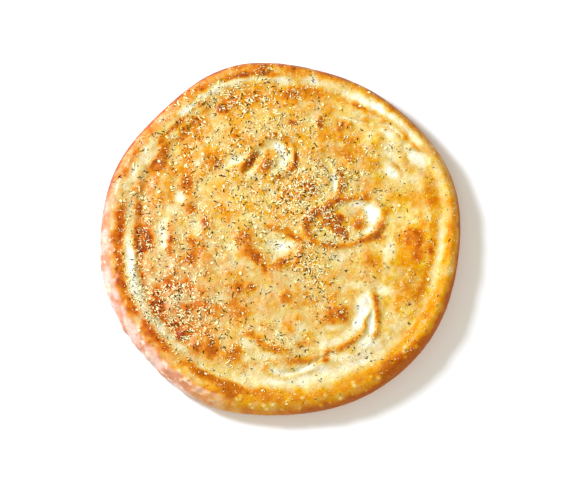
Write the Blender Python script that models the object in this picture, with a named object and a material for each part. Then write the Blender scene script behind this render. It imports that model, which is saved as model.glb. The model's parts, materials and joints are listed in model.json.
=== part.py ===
"""A round focaccia: a flat bread with a raised rim, a folded and dimpled top crust,
and the largest shreds, crumbs and herb stems of its topping fused to the crust.

+X is the right of the bread, +Y its far side and +Z up.
The origin is the centre of the flat underside.
Dimensions are in millimetres; the finished meshes are scaled to metres.
"""
import math

import bpy
import bmesh
import numpy as np
from mathutils import Matrix, Vector

MM = 0.001
NODE_NAME = "focaccia"
SEED = 41

# Outline: a mean radius and slow waves, each (waves round the bread, depth, angle of a crest)
MEAN_RADIUS = 150.5
OUTLINE_WAVES = (
    (1, 1.7, -100.0), (2, 0.4, 11.0), (3, 0.9, -10.0), (4, 0.8, 20.0),
    (5, 1.3, 28.0), (7, 0.4, 2.0), (8, 0.7, 19.0),
)

# Heights of the rim, of the crumb behind it and of the widest line, and the rounding underneath
CREST_HEIGHT = 26.0
CRUMB_HEIGHT = 21.0
WIDEST_HEIGHT = 9.0
TUCK_WIDTH = 4.0

# Wall of the rim, with places where it is pulled out: (middle and spread in degrees, extra width)
WALL_WIDTH = 7.5
WALL_PULLS = ((222.0, 34.0, 6.0), (182.0, 20.0, 3.5), (275.0, 26.0, 2.5), (135.0, 26.0, 3.0))

# Places where the crest is lower, the inner slope of the rim and the trough at its foot, in the same way
CREST_PULLS = ((202.0, 40.0, -2.4), (150.0, 30.0, -0.8))
RIM_SLOPE_WIDTH = 15.5
SLOPE_PULLS = ((12.0, 52.0, -8.0), (280.0, 40.0, 3.0), (148.0, 45.0, 7.0), (212.0, 24.0, 3.0))
TROUGH_WIDTH = 5.5
TROUGH_DEPTH = 0.5
TROUGH_PULLS = ((-72.0, 40.0, 1.3), (20.0, 50.0, 0.7), (195.0, 30.0, 0.2))

# Slow swelling of the crest, and the share of the relief that the rim loses
RIM_UNEVENNESS = 1.1
RIM_SWELL_SIZE = 16.0
RIM_SMOOTHING = 0.6

# Swells (up) and dimples (down): centre x, y, half sizes, turn in degrees, height
SWELLS = (
    (-99, 70, 6, 15, -12, 2.4),
    (-110, 78, 4, 6, 0, 1.2),
    (-114, -5, 7, 11, 5, 1.6),
    (-99, 2, 4, 15, 0, -1.6),
    (-90, -2, 4, 14, 2, 1.6),
    (-85, 33, 5, 6, 0, -1.3),
    (-77, 26, 6, 13, 8, 1.5),
    (-71, 8, 4, 7, 0, -1.1),
    (-63, 8, 5, 9, 0, 1.4),
    (-12, 58, 7, 10, 0, 2.2),
    (-40, 62, 16, 4, 28, -1.6),
    (-46, 75, 12, 6, 12, 1.0),
    (-38, 48, 14, 6, 15, 1.2),
    (-1, -10, 13, 14, 0, -3.2),
    (-30, -5, 9, 9, 25, 2.2),
    (-20, -20, 11, 6, -48, 2.6),
    (0, -26, 10, 5, 32, 2.0),
    (-40, -15, 8, 10, 0, -1.2),
    (102, 62, 9, 8, 0, -0.8),
    (113, -8, 15, 22, 0, 1.8),
    (48, -68, 12, 9, 15, 2.0),
    (20, -78, 18, 10, 20, 1.0),
    (18, -104, 14, 5, -2, 1.4),
    (-60, -45, 30, 26, 30, 0.9),
    (-60, -97, 15, 7, -8, 1.6),
    (-38, -101, 7, 9, 0, 1.4),
    (0, 114, 40, 10, -5, 1.2),
    (4, 131, 10, 4, -8, -1.6),
    (28, 130, 9, 4, -14, -1.4),
    (78, 82, 16, 9, -30, 1.2),
    (98, -62, 12, 20, -10, 0.9),
    (85, -46, 7, 4, 0, -1.2),
    (75, -22, 9, 7, 0, 1.4),
    (-76, 96, 10, 8, 30, 1.3),
    (-88, 96, 7, 5, 45, 1.0),
    (-56, 63, 8, 8, 0, 1.2),
    (35, 75, 14, 9, 10, 0.9),
)

# Folds: path points, ridge height and width, then depth, offset and width of the valley beside it
FOLDS = (
    (((-14, 45), (-4, 49), (5, 53), (10, 60), (11, 68), (9, 76), (4, 82), (-6, 85), (-17, 82)),
     2.2, 2.8, 2.4, 7.5, 4.6),
    (((3, 69), (5, 73), (4, 78)), 1.0, 1.5, 0.0, 0.0, 1.0),
    (((44, 33), (49, 36), (52, 43), (50, 51), (44, 57)), 2.0, 2.3, 2.0, 5.2, 3.2),
    (((27, 50), (29, 56), (28, 61)), 1.0, 1.5, 0.6, 2.5, 1.5),
    (((33, 49), (35, 54), (33, 60)), 1.0, 1.5, 0.6, 2.5, 1.5),
    (((18, 46), (26, 40), (33, 36)), 1.0, 3.0, 0.0, 0.0, 1.0),
    (((31, -103), (40, -98), (50, -95), (58, -91), (66, -86), (70, -79), (71, -72), (75, -64), (78, -57)),
     1.7, 2.4, 0.9, 9.0, 6.0),
    (((74, -90), (79, -82), (81, -74), (81, -65), (79, -55), (75, -48)), 1.9, 2.4, 1.5, 5.0, 3.0),
    (((-14, -111), (-6, -118), (4, -121), (16, -118), (30, -112), (42, -106)), 1.2, 2.8, 1.6, 4.0, 2.0),
    (((-30, -80), (-17, -91), (-2, -97), (12, -103)), 1.6, 4.5, 0.0, 0.0, 1.0),
    (((58, 113), (77, 106), (90, 99), (102, 88), (113, 77), (124, 68)), 1.6, 2.0, 1.2, 4.6, 2.8),
    (((74, 96), (84, 92), (96, 86), (101, 80)), 1.3, 2.0, 1.0, -4.4, 2.4),
    (((92, 66), (99, 61), (104, 55)), 0.0, 1.0, 1.2, 0.0, 1.8),
    (((43, 107), (58, 102), (75, 98), (89, 97), (100, 91), (105, 85), (100, 79)), 1.3, 2.1, 1.3, -4.6, 2.8),
    (((106, 76), (117, 73), (125, 66), (127, 57)), 1.6, 2.0, 1.5, -4.8, 2.8),
    (((-28, 52), (-22, 63), (-15, 74)), 0.0, 1.0, 3.2, 0.0, 2.6),
    (((-33, 56), (-28, 66), (-22, 76), (-14, 79)), 1.2, 2.4, 0.0, 0.0, 1.0),
    (((-11, 70), (-16, 78), (-26, 84)), 0.9, 2.0, 0.0, 0.0, 1.0),
    (((14, -26), (17, -14), (16, -5), (6, 2), (-8, 7)), 1.6, 3.2, 0.0, 0.0, 1.0),
    (((52, 24), (61, 21), (68, 20), (71, 14)), 1.0, 2.0, 0.0, 0.0, 1.0),
    (((-94, 96), (-79, 109), (-62, 121), (-45, 128), (-34, 131)), 1.0, 1.8, 0.0, 0.0, 1.0),
    (((-116, 60), (-120, 40), (-121, 20), (-121, -10), (-122, -35), (-117, -55)), 0.8, 3.2, 0.8, 6.5, 4.0),
    (((-96, -38), (-84, -22), (-74, -20)), 0.9, 3.5, 0.0, 0.0, 1.0),
    (((60, 95), (52, 93), (46, 88)), 0.9, 3.0, 0.0, 0.0, 1.0),
)
FOLD_STRENGTH = 1.25
FOLD_TAPER = 5.0
FOLD_END_SHARE = 0.25
CURVE_STEPS = 8

# The oval crater with its raised lip and the islands on its floor
CRATER_CENTRE = (54.5, 10.5)
CRATER_HALF_SIZE = (33.5, 19.5)
CRATER_TURN = 13.0
CRATER_LIP_HEIGHT = 1.7
CRATER_LIP_WIDTH = 2.6
CRATER_DEPTH = 2.3
CRATER_SLOPE_SHARE = 0.42
CRATER_ISLANDS = ((44, 13, 11, 4.5, 10, 2.0), (52, 1, 7, 6, -35, 2.0), (66, 9, 6, 5, 15, 1.8))

# Baked bubbles of the crumb, each (x, y, radius)
BUBBLES = (
    (-49, 109, 4.5), (-67, 113, 3.5), (33, 96, 4.0), (-103, -59, 5.0), (-83, -85, 4.0),
    (-26, -44, 4.5), (4, -53, 5.0), (-118, 39, 4.0), (109, 1, 5.5),
    (-44, -18, 4.0), (-62, -20, 5.0), (88, -24, 6.0), (58, 92, 4.0), (-66, 62, 4.0),
)
BUBBLE_HEIGHT = 1.2

# Random swelling of the crust and random shift of its features: (size of a swell, amount)
CRUST_NOISE = ((40.0, 1.1), (22.0, 0.9), (12.0, 0.7), (7.0, 0.48), (4.0, 0.28))
WANDER_NOISE = ((17.0, 1.0), (7.0, 0.6), (3.5, 0.4))
NOISE_TABLE = 64
NOISE_GAIN = 1.6

# Blisters of the near rim, the larger bubbles of the rim (x, y, radius, height), and its pleats
BLISTER_COUNT = 40
BLISTER_ANGLES = (233.0, 321.0)
BLISTER_INSET = (1.0, 12.0)
BLISTER_RADIUS = (1.3, 2.1)
BLISTER_HEIGHT = 0.8
RIM_BUBBLES = ((-15.5, 141.5, 5.0, 1.6), (-141.0, 30.0, 4.0, 0.8), (129.0, -66.0, 5.0, 0.7))
PLEAT_SIZE = 9.0
PLEAT_HEIGHT = 1.5
PLEAT_ANGLES = (218.0, 38.0)
PLEAT_REACH = 14.0
SKIN_START = 3.0

# Mesh fineness
TOP_RINGS = 110
WALL_RINGS = 12
TUCK_RINGS = 5
BODY_FACES = 6800
SLIVER_WIDTH = 0.03
SHARP_ANGLE = 50.0

# Toppings that are large enough to be shapes of their own
SHRED_COUNT = 14
SHRED_LENGTH = (3.2, 4.8)
SHRED_THICKNESS = (1.1, 1.4)
SHRED_SIDES = 5
SHRED_STEPS = 3
SHRED_BEND = 60.0
CRUMB_COUNT = 84
CRUMB_LENGTH = (2.2, 3.6)
CRUMB_WIDTH_SHARE = (0.55, 0.8)
CRUMB_HEIGHT_SHARE = (0.45, 0.6)
STEM_COUNT = 8
STEM_LENGTH = (4.5, 7.0)
STEM_THICKNESS = 0.8
STEM_SIDES = 4
STEM_BEND = 20.0
STRAND_END_SHARE = 0.75
SIDE_OFFSET = 0.3
TOPPING_GAP = 7.5
SINK_SHARE = 0.24

# Where the topping lies thickest: (x, y, half sizes, share)
TOPPING_PATCHES = (
    (-92, -55, 36, 42, 0.88), (-118, 5, 14, 50, 0.8), (-75, 95, 34, 28, 0.42), (-25, 118, 55, 22, 0.55),
    (-15, 70, 55, 42, 0.52), (26, -26, 20, 16, 1.0), (28, 43, 26, 18, 0.85), (46, 2, 15, 10, 0.5),
    (-35, -90, 40, 20, 0.35), (66, 62, 34, 34, 0.30), (0, 20, 40, 24, 0.5), (34, -54, 12, 10, 0.5),
    (-70, 10, 40, 40, 0.4), (75, -35, 16, 8, 0.25), (60, -108, 18, 8, 0.15), (0, -85, 14, 10, 0.35),
)
TOPPING_BASE_SHARE = 0.03
LARGE_EXTRA_SHARE = 0.08

CRUST_COLOUR = (0.78, 0.42, 0.10, 1.0)
CRUST_ROUGHNESS = 0.42


def clear_scene():
    """Remove whatever objects the scene holds."""
    for obj in list(bpy.data.objects):
        bpy.data.objects.remove(obj, do_unlink=True)


def smooth_step(value):
    """Rise from 0 to 1 with level ends."""
    value = np.clip(value, 0.0, 1.0)
    return value * value * (3.0 - 2.0 * value)


def lattice_noise(x, y, size, seed):
    """Smooth random swelling, mostly between -1 and 1, with swells about `size` across."""
    slopes = np.random.RandomState(seed).uniform(0.0, 2 * math.pi, (NOISE_TABLE, NOISE_TABLE))
    turn_x, turn_y = math.cos(seed), math.sin(seed)
    u, v = (x * turn_x - y * turn_y) / size + seed, (x * turn_y + y * turn_x) / size + seed
    column, row = np.floor(u).astype(int), np.floor(v).astype(int)
    u, v = u - column, v - row
    sides = []
    for up in (0, 1):
        pair = []
        for right in (0, 1):
            slope = slopes[(row + up) % NOISE_TABLE, (column + right) % NOISE_TABLE]
            pair.append(np.cos(slope) * (u - right) + np.sin(slope) * (v - up))
        sides.append(pair[0] + (pair[1] - pair[0]) * smooth_step(u))
    return NOISE_GAIN * (sides[0] + (sides[1] - sides[0]) * smooth_step(v))


def outline_radius(angle):
    """Radius in millimetres of the widest line of the bread."""
    radius = np.full_like(angle, MEAN_RADIUS)
    for count, depth, crest in OUTLINE_WAVES:
        radius += depth * np.cos(count * (angle - math.radians(crest)))
    return radius


def angle_share(angle, middle, spread, power=2):
    """1 at an angle round the bread, dying away on both sides."""
    away = np.angle(np.exp(1j * (angle - math.radians(middle))))
    return np.exp(-np.abs(away / math.radians(spread)) ** power)


def pulled(angle, usual, pulls):
    """A width or depth that changes at places round the bread."""
    return usual + sum(extra * angle_share(angle, middle, spread) for middle, spread, extra in pulls)


def wall_width(angle):
    """How far in from the outline the crest of the rim lies."""
    return pulled(angle, WALL_WIDTH, WALL_PULLS)


def oval(x, y, centre_x, centre_y, half_x, half_y, turn):
    """Distance from a centre, measured so that the turned oval's edge is at 1."""
    c, s = math.cos(math.radians(turn)), math.sin(math.radians(turn))
    along = ((x - centre_x) * c + (y - centre_y) * s) / half_x
    across = ((y - centre_y) * c - (x - centre_x) * s) / half_y
    return np.hypot(along, across)


def curve_points(points):
    """Smooth curve through a few points."""
    points = np.array(points, float)
    ends = np.vstack((2 * points[0] - points[1], points, 2 * points[-1] - points[-2]))
    curve = []
    for first, start, end, last in zip(ends, ends[1:], ends[2:], ends[3:]):
        for t in np.arange(CURVE_STEPS) / CURVE_STEPS:
            curve.append(0.5 * (2 * start + (end - first) * t
                                + (2 * first - 5 * start + 4 * end - last) * t ** 2
                                + (3 * start - first - 3 * end + last) * t ** 3))
    curve.append(points[-1])
    return np.array(curve)


def fold_height(x, y, path, ridge, ridge_width, valley, offset, valley_width):
    """A ridge along a path, with a valley beside it, that both die away at the path's ends."""
    curve = curve_points(path)
    nearest = np.full(x.shape, np.inf)
    side = np.zeros(x.shape)
    place = np.zeros(x.shape)
    for index, (start, end) in enumerate(zip(curve, curve[1:])):
        step = end - start
        share = ((x - start[0]) * step[0] + (y - start[1]) * step[1]) / (step @ step)
        share = np.clip(share, 0.0, 1.0)
        gap_x, gap_y = x - start[0] - share * step[0], y - start[1] - share * step[1]
        gap = np.hypot(gap_x, gap_y)
        closer = gap < nearest
        nearest = np.where(closer, gap, nearest)
        side = np.where(closer, np.sign(step[0] * gap_y - step[1] * gap_x) * gap, side)
        place = np.where(closer, (index + share) / (len(curve) - 1), place)
    taper = smooth_step(place * FOLD_TAPER + FOLD_END_SHARE)
    taper *= smooth_step((1.0 - place) * FOLD_TAPER + FOLD_END_SHARE)
    height = ridge * np.exp(-(nearest / ridge_width) ** 2)
    height -= valley * np.exp(-((side - offset) / valley_width) ** 2) * (nearest < offset + 3 * valley_width)
    return height * taper


def wander(x, y):
    """Shift places a little, by slow noise."""
    shift_x, shift_y = np.zeros_like(x), np.zeros_like(y)
    for size, reach in WANDER_NOISE:
        shift_x += reach * lattice_noise(x, y, size, SEED + 61)
        shift_y += reach * lattice_noise(x, y, size, SEED + 62)
    return x + shift_x, y + shift_y


def crust_relief(x, y):
    """Height of the folds, dimples, crater and bubbles at a place, all in millimetres."""
    height = np.zeros_like(x)
    for size, amount in CRUST_NOISE:
        height += amount * lattice_noise(x, y, size, SEED + int(size))
    x, y = wander(x, y)
    for centre_x, centre_y, half_x, half_y, turn, amount in SWELLS + CRATER_ISLANDS:
        height += amount * np.exp(-oval(x, y, centre_x, centre_y, half_x, half_y, turn) ** 2)
    for fold in FOLDS:
        height += FOLD_STRENGTH * fold_height(x, y, *fold)
    ring = oval(x, y, *CRATER_CENTRE, *CRATER_HALF_SIZE, CRATER_TURN)
    lip_width = CRATER_LIP_WIDTH / min(CRATER_HALF_SIZE)
    height += CRATER_LIP_HEIGHT * np.exp(-((ring - 1.0) / lip_width) ** 2)
    height -= CRATER_DEPTH * smooth_step((1.0 - ring) / CRATER_SLOPE_SHARE)
    for centre_x, centre_y, radius in BUBBLES:
        height += BUBBLE_HEIGHT * np.exp(-(np.hypot(x - centre_x, y - centre_y) / radius) ** 4)
    return height


def top_height(x, y):
    """Height of the top crust, from the crest of the rim inwards."""
    angle = np.arctan2(y, x)
    inward = outline_radius(angle) - np.hypot(x, y) - wall_width(angle)
    slope = pulled(angle, RIM_SLOPE_WIDTH, SLOPE_PULLS)
    rim = 1.0 - smooth_step(inward / slope)
    crest = pulled(angle, CREST_HEIGHT, CREST_PULLS)
    height = CRUMB_HEIGHT + (crest - CRUMB_HEIGHT) * rim
    height += RIM_UNEVENNESS * rim * lattice_noise(x, y, RIM_SWELL_SIZE, SEED + 5)
    trough = pulled(angle, TROUGH_DEPTH, TROUGH_PULLS)
    height -= trough * np.exp(-((inward - slope) / TROUGH_WIDTH) ** 2)
    return height + crust_relief(x, y) * (1.0 - RIM_SMOOTHING * rim)


def top_points():
    """Places of the top's vertices, and where each ring of them starts."""
    points, starts = [np.zeros((1, 2))], [0]
    for ring in range(1, TOP_RINGS + 1):
        starts.append(sum(len(part) for part in points))
        angles = np.arange(6 * ring) * 2 * math.pi / (6 * ring)
        radius = (outline_radius(angles) - wall_width(angles)) * ring / TOP_RINGS
        points.append(np.column_stack((radius * np.cos(angles), radius * np.sin(angles))))
    return np.vstack(points), starts


def top_faces(starts):
    """Triangles between each ring and the next."""
    faces = [(0, 1 + i, 1 + (i + 1) % 6) for i in range(6)]
    for ring in range(1, TOP_RINGS):
        inner, outer = starts[ring], starts[ring + 1]
        for sector in range(6):
            for i in range(ring + 1):
                here = inner + (sector * ring + i) % (6 * ring)
                right = outer + (sector * (ring + 1) + i + 1) % (6 * ring + 6)
                faces.append((here, outer + sector * (ring + 1) + i, right))
                if i < ring:
                    faces.append((here, right, inner + (sector * ring + i + 1) % (6 * ring)))
    return faces


def side_rings(crest_angles, crest_height):
    """Radius and height of each ring down the wall and under the edge."""
    outline, width = outline_radius(crest_angles), wall_width(crest_angles)
    level = np.zeros_like(outline)
    rings = []
    for turn in np.linspace(0.0, math.pi / 2, WALL_RINGS + 1)[1:]:
        rings.append((outline - width * (1.0 - math.sin(turn)),
                      WIDEST_HEIGHT + (crest_height - WIDEST_HEIGHT) * math.cos(turn)))
    for turn in np.linspace(0.0, math.pi / 2, TUCK_RINGS + 1)[1:]:
        rings.append((outline - TUCK_WIDTH * (1.0 - math.cos(turn)),
                      level + WIDEST_HEIGHT * (1.0 - math.sin(turn))))
    return rings


def crust_mesh():
    """Top crust, rounded wall and tucked-under edge, as rings that grow from the centre out."""
    flat, starts = top_points()
    vertices = np.column_stack((flat, top_height(flat[:, 0], flat[:, 1])))
    faces = top_faces(starts)
    crest = vertices[starts[TOP_RINGS]:]
    count = len(crest)
    angles = np.arctan2(crest[:, 1], crest[:, 0])
    parts = [vertices]
    inner = starts[TOP_RINGS]
    for radius, height in side_rings(angles, crest[:, 2]):
        parts.append(np.column_stack((radius * np.cos(angles), radius * np.sin(angles), height)))
        for i in range(count):
            following = (i + 1) % count
            faces.append((inner + i, inner + count + i, inner + count + following, inner + following))
        inner += count
    mesh = bpy.data.meshes.new(NODE_NAME)
    mesh.from_pydata(np.vstack(parts).tolist(), [], faces)
    return mesh


def vertex_array(mesh, field="co"):
    """The places or normals of a mesh's vertices, as rows."""
    values = np.empty(len(mesh.vertices) * 3)
    mesh.vertices.foreach_get(field, values)
    return values.reshape(-1, 3)


def rim_blisters():
    """Where the blisters and bubbles of the rim sit, with their radii and heights."""
    draw = np.random.RandomState(SEED + 3)
    blisters = []
    for _ in range(BLISTER_COUNT):
        angle = math.radians(draw.uniform(*BLISTER_ANGLES))
        radius = float(outline_radius(np.array([angle]))[0]) - draw.uniform(*BLISTER_INSET)
        blisters.append((radius * math.cos(angle), radius * math.sin(angle),
                         draw.uniform(*BLISTER_RADIUS), BLISTER_HEIGHT))
    return blisters


def bumps(places, blisters):
    """How far each place is pushed out by round bumps, wherever on the rim they sit."""
    upper = places[:, 2] > WIDEST_HEIGHT
    rise = np.zeros(len(places))
    for x, y, radius, height in blisters:
        away = np.hypot(places[:, 0] - x, places[:, 1] - y)
        centre = places[np.argmin(np.where(upper, away, np.inf))]
        near = np.linalg.norm(places - centre, axis=1)
        rise = np.maximum(rise, height * np.exp(-(near / radius) ** 3))
    return rise


def raise_skin(mesh):
    """Push pleats, blisters and bubbles out along the surface."""
    places, normals = vertex_array(mesh), vertex_array(mesh, "normal")
    x, y, z = places.T
    angle = np.arctan2(y, x)
    inset = outline_radius(angle) - np.hypot(x, y)
    rise = bumps(places, rim_blisters()) + bumps(places, RIM_BUBBLES)
    pleats = PLEAT_HEIGHT * lattice_noise(x, y, PLEAT_SIZE, SEED + 9) * angle_share(angle, *PLEAT_ANGLES, 4)
    rise += pleats * np.exp(-(inset / PLEAT_REACH) ** 4)
    rise *= smooth_step(z / SKIN_START)
    mesh.vertices.foreach_set("co", (places + normals * rise[:, None]).ravel())


def thin_out(body):
    """Keep faces only where the relief needs them."""
    face_count = sum(len(face.vertices) - 2 for face in body.data.polygons)
    thinning = body.modifiers.new("thin out", 'DECIMATE')
    thinning.ratio = BODY_FACES / face_count
    apply_modifiers(body)


def apply_modifiers(obj):
    """Turn the object's evaluated shape into its own mesh."""
    evaluated = obj.evaluated_get(bpy.context.evaluated_depsgraph_get())
    mesh = bpy.data.meshes.new_from_object(evaluated)
    obj.modifiers.clear()
    obj.data = mesh


def close_underside(body):
    """Level the lowest edge and close it with one flat face."""
    work = bmesh.new()
    work.from_mesh(body.data)
    rim = [edge for edge in work.edges if edge.is_boundary]
    for vertex in {vertex for edge in rim for vertex in edge.verts}:
        vertex.co.z = 0.0
    bmesh.ops.contextual_create(work, geom=rim)
    bmesh.ops.triangulate(work, faces=work.faces[:])
    bmesh.ops.recalc_face_normals(work, faces=work.faces[:])
    work.to_mesh(body.data)
    work.free()


def centre_on_origin(body):
    """Put the middle of the bread's width and depth on the origin."""
    places = np.array([vertex.co for vertex in body.data.vertices])
    middle = (places.min(axis=0) + places.max(axis=0)) / 2
    body.data.transform(Matrix.Translation((-middle[0], -middle[1], 0.0)))


def topping_share(x, y):
    """Share of the topping that falls at a place."""
    share = TOPPING_BASE_SHARE
    for centre_x, centre_y, half_x, half_y, amount in TOPPING_PATCHES:
        share += amount * math.exp(-((x - centre_x) / half_x) ** 2 - ((y - centre_y) / half_y) ** 2)
    return min(share, 1.0) + LARGE_EXTRA_SHARE


def topping_places(count):
    """Places for the large toppings, most where the topping lies thickest, each clear of the others."""
    draw = np.random.RandomState(SEED)
    reach = MEAN_RADIUS - WALL_WIDTH
    places = []
    while len(places) < count:
        x, y = draw.uniform(-reach, reach, 2)
        keep = draw.uniform() < topping_share(x, y) and math.hypot(x, y) < reach
        if keep and all(math.hypot(x - a, y - b) > TOPPING_GAP for a, b in places):
            places.append((x, y))
    return places


def crust_point(body, x, y):
    """The point of the crust under a place, and the way the crust faces there."""
    _, point, normal, _ = body.ray_cast(Vector((x, y, 2 * CREST_HEIGHT)) * MM, Vector((0, 0, -1)))
    return point, normal


def strand(body, name, place, length, thickness, sides, bend, draw):
    """A bent strand with tapered ends that follows the crust and is partly sunk in it."""
    heading = draw.uniform(0, 2 * math.pi)
    curl = math.radians(draw.uniform(-bend, bend))
    up = crust_point(body, *place)[1]
    work = bmesh.new()
    x = place[0] - math.cos(heading) * length / 2
    y = place[1] - math.sin(heading) * length / 2
    rings = []
    for step in range(SHRED_STEPS + 1):
        across = up.cross(Vector((math.cos(heading), math.sin(heading), 0.0))).normalized()
        middle = crust_point(body, x, y)[0] + up * thickness * (0.5 - SINK_SHARE) * MM
        size = thickness / 2 * (STRAND_END_SHARE if step in (0, SHRED_STEPS) else 1.0) * MM
        ring = []
        for side in range(sides):
            turn = 2 * math.pi * (side + SIDE_OFFSET) / sides
            outward = across * math.cos(turn) + up * math.sin(turn)
            ring.append(work.verts.new(middle + outward * size))
        rings.append(ring)
        x += math.cos(heading) * length / SHRED_STEPS
        y += math.sin(heading) * length / SHRED_STEPS
        heading += curl / SHRED_STEPS
    for ring, following in zip(rings, rings[1:]):
        for i in range(sides):
            work.faces.new((ring[i], ring[(i + 1) % sides], following[(i + 1) % sides], following[i]))
    work.faces.new(rings[0])
    work.faces.new(rings[-1])
    return finish_piece(work, name)


def crumb(body, name, place, length, draw):
    """A crumb partly sunk in the crust."""
    point, normal = crust_point(body, *place)
    work = bmesh.new()
    bmesh.ops.create_icosphere(work, subdivisions=1, radius=0.5)
    turn = Matrix.Rotation(draw.uniform(0, 2 * math.pi), 4, 'Z')
    width = length * draw.uniform(*CRUMB_WIDTH_SHARE)
    size = Matrix.Diagonal((length, width, length * draw.uniform(*CRUMB_HEIGHT_SHARE), 1.0))
    lean = Vector((0, 0, 1)).rotation_difference(normal).to_matrix().to_4x4()
    middle = Matrix.Translation(point + normal * length * SINK_SHARE * 0.5 * MM)
    bmesh.ops.transform(work, matrix=middle @ lean @ turn @ Matrix.Scale(MM, 4) @ size, verts=work.verts)
    return finish_piece(work, name)


def finish_piece(work, name):
    """Turn a worked piece into an object of its own, with its faces pointing out."""
    bmesh.ops.triangulate(work, faces=work.faces[:])
    bmesh.ops.recalc_face_normals(work, faces=work.faces[:])
    mesh = bpy.data.meshes.new(name)
    work.to_mesh(mesh)
    work.free()
    return bpy.data.objects.new(name, mesh)


def make_toppings(body):
    """The large shreds, crumbs and herb stems, largest first, in a collection of their own."""
    toppings = bpy.data.collections.new("toppings")
    bpy.context.scene.collection.children.link(toppings)
    draw = np.random.RandomState(SEED + 1)
    places = topping_places(SHRED_COUNT + CRUMB_COUNT + STEM_COUNT)
    kinds = ["stem"] * STEM_COUNT + ["shred"] * SHRED_COUNT + ["crumb"] * CRUMB_COUNT
    draw.shuffle(kinds)
    for number, (kind, place) in enumerate(zip(kinds, places)):
        name = f"{kind}_{number:03d}"
        if kind == "stem":
            length = draw.uniform(*STEM_LENGTH)
            piece = strand(body, name, place, length, STEM_THICKNESS, STEM_SIDES, STEM_BEND, draw)
        elif kind == "shred":
            length, thickness = draw.uniform(*SHRED_LENGTH), draw.uniform(*SHRED_THICKNESS)
            piece = strand(body, name, place, length, thickness, SHRED_SIDES, SHRED_BEND, draw)
        else:
            piece = crumb(body, name, place, draw.uniform(*CRUMB_LENGTH), draw)
        toppings.objects.link(piece)
    return toppings


def fuse(body, toppings):
    """Join the toppings to the crust they lie on, so that the bread is one solid."""
    union = body.modifiers.new("fuse toppings", 'BOOLEAN')
    union.operation = 'UNION'
    union.operand_type = 'COLLECTION'
    union.collection = toppings
    union.solver = 'EXACT'
    apply_modifiers(body)
    for piece in list(toppings.objects):
        bpy.data.objects.remove(piece, do_unlink=True)
    bpy.data.collections.remove(toppings)


def connected(vertex):
    """All the vertices that edges join to one vertex."""
    found = {vertex}
    reached = [vertex]
    while reached:
        for edge in reached.pop().link_edges:
            fresh = set(edge.verts) - found
            found |= fresh
            reached.extend(fresh)
    return found


def keep_outer_shell(body):
    """Fill the hollows that fusing sealed, by keeping only the largest shell, and merge slivers."""
    work = bmesh.new()
    work.from_mesh(body.data)
    bmesh.ops.triangulate(work, faces=work.faces[:])
    bmesh.ops.dissolve_degenerate(work, edges=work.edges[:], dist=SLIVER_WIDTH * MM)
    shells = []
    unseen = set(work.verts)
    while unseen:
        shells.append(connected(next(iter(unseen))))
        unseen -= shells[-1]
    outer = max(shells, key=len)
    bmesh.ops.delete(work, geom=[vertex for vertex in work.verts if vertex not in outer], context='VERTS')
    bmesh.ops.triangulate(work, faces=work.faces[:])
    work.to_mesh(body.data)
    work.free()


def baked_crust_material():
    """Golden crust with a thin shine of oil."""
    material = bpy.data.materials.new("baked_crust")
    material.use_nodes = True
    shader = material.node_tree.nodes["Principled BSDF"]
    shader.inputs["Base Color"].default_value = CRUST_COLOUR
    shader.inputs["Roughness"].default_value = CRUST_ROUGHNESS
    shader.inputs["Metallic"].default_value = 0.0
    return material


def make_focaccia():
    """Build the bread: crust first, then its flat underside, then the toppings fused on."""
    mesh = crust_mesh()
    raise_skin(mesh)
    mesh.transform(Matrix.Scale(MM, 4))
    body = bpy.data.objects.new(NODE_NAME, mesh)
    bpy.context.scene.collection.objects.link(body)
    thin_out(body)
    close_underside(body)
    centre_on_origin(body)
    bpy.context.view_layer.update()
    fuse(body, make_toppings(body))
    keep_outer_shell(body)
    body.data.materials.clear()
    body.data.materials.append(baked_crust_material())
    body.data.shade_smooth()
    body.data.set_sharp_from_angle(angle=math.radians(SHARP_ANGLE))
    return body


clear_scene()
make_focaccia()
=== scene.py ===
# %% [markdown]
# # A round focaccia
#
# A focaccia is a flat, oiled bread. This one was stretched out round by hand, pressed with the
# fingertips, strewn with finely grated hard cheese and dried herbs, and baked until its high
# places went brown and its hollows stayed cream. The lesson builds it in that order: the light
# and the camera, the crust with its folds, the crust's colours, and then the toppings.
#
# Everything is in metres in the scene, and in millimetres in the tables. The bread lies on its
# flat underside at height zero, +X is its right, +Y its far side and +Z up.

# %% Start from the solid model
import json
import math

import bpy
import bmesh
import numpy as np
from mathutils import Matrix, Vector
from mathutils.bvhtree import BVHTree

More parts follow.
